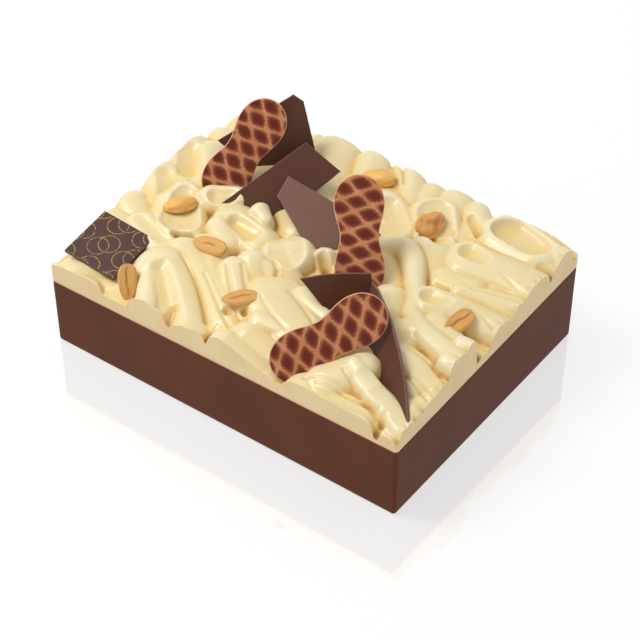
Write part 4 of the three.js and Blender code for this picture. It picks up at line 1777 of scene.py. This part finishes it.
@dataclass(frozen=True)
class PeanutHalf:
    """Half a roasted peanut, long along its local X, its dome up and its inner face below."""

    name: str
    pose: Pose
    length: float = 17.0
    width: float = 10.5
    dome: float = 4.6
    cut_bulge: float = 1.1
    seam_depth: float = 0.62
    seam_width: float = 0.42
    seam_reach: float = 0.7
    dish: float = 0.0
    taper: float = 0.12
    skin: NutSkin = NutSkin()
    toasting: Toasting = Toasting()
    inner_share: float = 0.85
    inner_fade: float = 6.0
    dome_fade: Pair = (2.0, 0.6)
    rings: int = 60
    sides: int = 96
    seed: int = 1

    def finish(self) -> RoastedNutFinish:
        """Roasted, golden and dull.

        Returns:
            The finish.
        """
        return RoastedNutFinish(
            "roasted peanut",
            colour=from_srgb(246, 194, 110),
            cloud=from_srgb(234, 174, 88),
            cloud_size=2.6,
            cloud_amount=0.85,
            roughness=0.5,
            specular=0.3,
            subsurface=0.15,
            subsurface_radius=(1.0, 0.75, 0.4),
            subsurface_scale=1.2,
            relief_broad=1.5,
            relief_fine=0.35,
            relief_fine_share=0.5,
            relief_depth=0.32,
        )

    def ring(self, along: float, phases: np.ndarray) -> tuple[np.ndarray, np.ndarray, np.ndarray]:
        """Shapes one ring round the nut.

        Args:
            along: where the ring is, -1 to 1 from end to end.
            phases: the phases of this nut's unevenness.

        Returns:
            The ring's points, how far each belongs to the inner face, and how toasted it is.
        """
        skin, heat = self.skin, self.toasting
        angle = 2 * math.pi * np.arange(self.sides) / self.sides
        out, up = np.cos(angle), np.sin(angle)
        waist = 1 + skin.waist_depth * math.sin(skin.waist_turn * along + phases[0])
        fullness = (1 - along**2) ** skin.end_power * (1 + self.taper * along) / (1 + self.taper) * waist
        wrinkle = sum(
            each.strength * np.sin(each.count * angle + each.turn * along + phase)
            for each, phase in zip(skin.wrinkles, phases[1:4])
        )
        y = self.width / 2 * fullness * out * (1 + skin.side_depth * wrinkle)
        bends = zip(skin.seam_bends, phases[4:])
        seam_line = sum(reach * math.sin(turn * along + phase) for (reach, turn), phase in bends)
        seam = np.exp(-(((y - seam_line) / self.seam_width) ** 2))
        seam *= max(0.0, 1 - (along / self.seam_reach) ** 4)
        rim = np.exp(-(((np.abs(out) - skin.rim_place) / skin.rim_width) ** 2))
        plateau = np.sqrt(1 - out**4) - skin.face_hollow * (1 - out**2) + skin.rim_height * rim
        inner = -self.cut_bulge * fullness * plateau + self.seam_depth * seam
        pressed = self.dish * (1 - out**2) * (1 - along**2) ** 2
        outer = (self.dome * up - pressed) * fullness * (1 + skin.dome_depth * wrinkle)
        below = up < 0
        z = np.where(below, inner + skin.face_depth * wrinkle * fullness, outer)
        points = np.column_stack([np.full(self.sides, along * self.length / 2), y, z])
        tip = max(0.0, (abs(along) - heat.tip_start) / heat.tip_length)
        uneven = 0.5 + 0.5 * np.tanh(heat.contrast * wrinkle)
        spots = uneven * (heat.rim * rim + heat.hollow * pressed)
        toast = heat.seam * seam * below + heat.tip * tip + spots
        return points, self.inner_share * self.inner_mark(up), np.clip(toast, 0, 1)

    def inner_mark(self, up: np.ndarray) -> np.ndarray:
        """Where the duller colour shows: on the face of a nut that shows it, else on top of the dome.

        Args:
            up: how far up each point of a ring lies, -1 to 1.

        Returns:
            The mark, 0 to 1.
        """
        if self.pose.flipped:
            return smooth_step(-self.inner_fade * up)
        steepness, start = self.dome_fade
        return smooth_step(steepness * up - start)

    def build(self, effects: Effects) -> bpy.types.Object:
        """Builds the nut ring by ring along its length.

        Args:
            effects: the shared effects.

        Returns:
            The piece.
        """
        phases = np.random.default_rng(self.seed).uniform(0, 2 * math.pi, 6)
        places = [-math.cos(math.pi * (ring + 0.5) / self.rings) for ring in range(self.rings)]
        rings = [self.ring(along, phases) for along in places]
        points = np.vstack([ring[0] for ring in rings])
        ends = np.array([points[: self.sides].mean(axis=0), points[-self.sides :].mean(axis=0)])
        faces: list[Sequence[int]] = list(join_rings(self.rings, self.sides))
        first, last = len(points), len(points) + 1
        top_ring = len(points) - self.sides
        for side in range(self.sides):
            after = (side + 1) % self.sides
            faces.append((first, after, side))
            faces.append((last, top_ring + side, top_ring + after))
        points = np.vstack([points, ends])
        marks = {
            "place": points,
            "inner": np.concatenate([*[ring[1] for ring in rings], [0.0, 0.0]]),
            "dent": np.concatenate([*[ring[2] for ring in rings], [self.toasting.end] * 2]),
        }
        piece = MeshPiece(f"{self.name}_peanut", self.pose.place(points), faces, marks=marks)
        return piece.link([self.finish().material(effects)], "roasted_nut", [self.name])


# ---------------------------------------------------------------------------------------------
# Decoration
# ---------------------------------------------------------------------------------------------

# the turn at which a plate faces the camera
FRONT_TURN = 36.4


@dataclass(frozen=True)
class Decoration:
    """Everything that is set into the cream, and where."""

    def shards(self) -> list[ChocolateShard]:
        """Places the five broken plates of chocolate.

        Returns:
            The plates.
        """
        return [
            ChocolateShard(
                "shard_back",
                Pose((-69.2, 35, 62.4), FRONT_TURN, 62),
                corners=(
                    (24.3, 27.8), (-13.5, 5), (-10.1, 2), (-2, -14), (30, -14), (36, -4),
                    (34.8, 1.6), (29.4, 24.4),
                ),
                seed=11,
            ),
            ChocolateShard(
                "shard_middle",
                Pose((-52.1, 0.5, 54), FRONT_TURN, 45),
                corners=(
                    (37.4, 33.3), (-4.4, 2.9), (0, -1.5), (12, -8), (28, -8), (42.6, 9.4),
                    (54.3, 19),
                ),
                seed=12,
            ),
            ChocolateShard(
                "shard_pale",
                Pose((-5.3, 3.5, 53), FRONT_TURN, 30),
                corners=(
                    (-10.5, 35.4), (-15.8, 25.1), (-6.4, 7.8), (0, -5), (12.3, -7), (24, -3),
                    (33.8, 5.1), (12.4, 21),
                ),
                pale=True,
                seed=13,
            ),
            ChocolateShard(
                "shard_front",
                Pose((30.8, -32.3, 54), FRONT_TURN, 65),
                corners=(
                    (-12.1, 15), (0, -0.5), (5, -7), (17, -7), (21.5, 8), (20, 17.6),
                    (6.9, 17.6), (-3, 16.7),
                ),
                seed=14,
            ),
            ChocolateShard(
                "shard_blade",
                Pose((96.9, -65.7, 49), -31, 52),
                corners=(
                    (2, 0.6), (-14.7, 10.1), (-29.9, 16.1), (-41.8, 19.9), (-50.3, 22), (-64, 24.2),
                    (-70.3, 24), (-63.9, 17.7), (-58, 4), (-48, -3), (-37.5, -4), (-6, -3),
                ),
                seed=15,
            ),
        ]

    def plaques(self) -> list[Plate]:
        """Places the three peanut-shaped plaques and the square one.

        Returns:
            The plaques.
        """
        return [
            PeanutPlaque(
                "plaque_back",
                Pose((-61.4, 24.9, 71), FRONT_TURN, 58, 56),
                print_origin=(2.4, -1.2),
            ),
            PeanutPlaque(
                "plaque_middle",
                Pose((24.1, 2.3, 72), FRONT_TURN, 46, 90.5),
                print_origin=(1.7, -3.2),
            ),
            PeanutPlaque(
                "plaque_front",
                Pose((47.6, -53.8, 61.2), FRONT_TURN, 52, 31),
                print_origin=(3.1, 1.2),
            ),
            SquarePlaque("plaque_square", Pose((-81.1, -54.1, 54), FRONT_TURN, 12, -35.4)),
        ]

    def nuts(self) -> list[PeanutHalf]:
        """Places the seven peanut halves.

        Returns:
            The nuts.
        """
        return [
            PeanutHalf(
                "nut_front_left",
                Pose((-57, -68.6, 52.3), FRONT_TURN, 60, 90, flipped=True),
                seam_reach=0.95,
                seed=21,
            ),
            PeanutHalf("nut_left", Pose((-71.4, -13.1, 56.4), 54, 8), dish=0.5, inner_share=0.4, seed=22),
            PeanutHalf(
                "nut_centre",
                Pose((-39.6, -29.4, 57.2), 9, 15, flipped=True),
                seam_reach=0.45,
                seed=23,
            ),
            PeanutHalf("nut_boat", Pose((-5.4, -49.9, 56), 47, 8, flipped=True), taper=0.25, seed=24),
            PeanutHalf("nut_back", Pose((-7.3, 63.7, 55.2), 18, 15), dish=0.8, inner_share=0.2, seed=25),
            PeanutHalf(
                "nut_right_back",
                Pose((33.9, 47.6, 55), 60, 25, 22),
                dish=2.3,
                taper=-0.15,
                seed=26,
            ),
            PeanutHalf(
                "nut_right",
                Pose((85, -5.6, 57), 60, 20, 20, flipped=True),
                seam_reach=0.95,
                seam_width=0.5,
                seed=27,
            ),
        ]

    def build(self, effects: Effects) -> None:
        """Builds every plate and nut.

        Args:
            effects: the shared effects.
        """
        for piece in [*self.shards(), *self.plaques(), *self.nuts()]:
            piece.build(effects)


# ---------------------------------------------------------------------------------------------
# Studio
# ---------------------------------------------------------------------------------------------


def aim(thing: bpy.types.Object, target: Vector, azimuth: float, elevation: float, distance: float) -> None:
    """Stands a lamp or a camera off from the target and turns it to look there.

    Args:
        thing: the lamp or the camera.
        target: what it looks at.
        azimuth: the side that it stands on: 0 is the -Y side, 90 the +X side.
        elevation: how high it stands, as an angle.
        distance: how far off it stands.
    """
    turn = math.radians(azimuth)
    rise = math.radians(elevation)
    back = Vector((math.sin(turn) * math.cos(rise), -math.cos(turn) * math.cos(rise), math.sin(rise)))
    thing.location = target + back * distance
    thing.rotation_euler = (-back).to_track_quat("-Z", "Y").to_euler()


@dataclass(frozen=True)
class SoftBox:
    """A large soft lamp, aimed at the cake."""

    name: str
    azimuth: float
    elevation: float
    distance: float
    size: float
    power: float
    colour: Triple = (1.0, 1.0, 1.0)

    def build(self, target: Vector) -> None:
        """Hangs the lamp and aims it.

        Args:
            target: what it lights.
        """
        lamp = bpy.data.lights.new(self.name, "AREA")
        lamp.shape = "DISK"
        lamp.size = self.size
        lamp.energy = self.power
        lamp.color = self.colour
        holder = bpy.data.objects.new(self.name, lamp)
        bpy.context.scene.collection.objects.link(holder)
        aim(holder, target, self.azimuth, self.elevation, self.distance)


@dataclass(frozen=True)
class Studio:
    """A plain pale floor, soft light from all round, and the camera."""

    azimuth: float = 36.42
    elevation: float = 40.68
    distance: float = 0.9
    target: Triple = (-0.0052, 0.0114, 0.0)
    lens: float = 101.9
    sensor: float = 36.0
    clip: Pair = (0.01, 50.0)
    key_aside: float = 97.0
    floor_half: float = 6.0
    floor_colour: Rgba = (0.25, 0.25, 0.25, 1.0)
    floor_roughness: float = 0.05
    floor_mirror: float = 2.6
    floor_glow: float = 0.65
    surround: float = 0.665

    def key_lamp(self) -> SoftBox:
        """The high lamp at the camera's left.

        Returns:
            The lamp.
        """
        return SoftBox(
            "key lamp",
            azimuth=self.azimuth - self.key_aside,
            elevation=58,
            distance=1.3,
            size=0.6,
            power=9.8,
            colour=(1.0, 0.995, 0.985),
        )

    def build(self) -> None:
        """Builds the camera, the floor, the lamp and the surroundings."""
        self.add_camera()
        self.add_floor()
        self.key_lamp().build(Vector(self.target))
        self.add_surround()

    def add_camera(self) -> None:
        """Stands the camera where the photograph was taken from."""
        camera = bpy.data.cameras.new("camera")
        camera.sensor_width = self.sensor
        camera.lens = self.lens
        camera.clip_start, camera.clip_end = self.clip
        holder = bpy.data.objects.new("camera", camera)
        bpy.context.scene.collection.objects.link(holder)
        aim(holder, Vector(self.target), self.azimuth, self.elevation, self.distance)
        bpy.context.scene.camera = holder

    def add_floor(self) -> None:
        """Lays a pale floor with a faint mirror in it."""
        reach = self.floor_half
        mesh = bpy.data.meshes.new("floor")
        corners = [(-reach, -reach, 0), (reach, -reach, 0), (reach, reach, 0), (-reach, reach, 0)]
        mesh.from_pydata(corners, [], [(0, 1, 2, 3)])
        material = bpy.data.materials.new("pale floor")
        material.use_nodes = True
        shader = material.node_tree.nodes["Principled BSDF"]
        for name, value in (
            ("Base Color", self.floor_colour),
            ("Roughness", self.floor_roughness),
            ("IOR", self.floor_mirror),
            ("Emission Color", WHITE),
            ("Emission Strength", self.floor_glow),
        ):
            shader.inputs[name].default_value = value
        mesh.materials.append(material)
        floor = bpy.data.objects.new("floor", mesh)
        bpy.context.scene.collection.objects.link(floor)

    def add_surround(self) -> None:
        """Lights the scene from all round, and shows its colours as they are."""
        world = bpy.data.worlds.new("studio")
        world.use_nodes = True
        background = world.node_tree.nodes["Background"]
        background.inputs["Color"].default_value = WHITE
        background.inputs["Strength"].default_value = self.surround
        scene = bpy.context.scene
        scene.world = world
        scene.view_settings.view_transform = "Standard"
        scene.view_settings.look = "None"


def main() -> None:
    """Loads the frame, builds the cake round it and reports each piece."""
    logging.basicConfig(level=logging.INFO, format="%(name)s: %(message)s")
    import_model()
    effects = Effects()
    block = Block.from_frame()
    Studio().build()
    BaseLayer(block).build(effects)
    CreamLayer(block).build(effects)
    Decoration().build(effects)


if __name__ == "__main__":
    main()
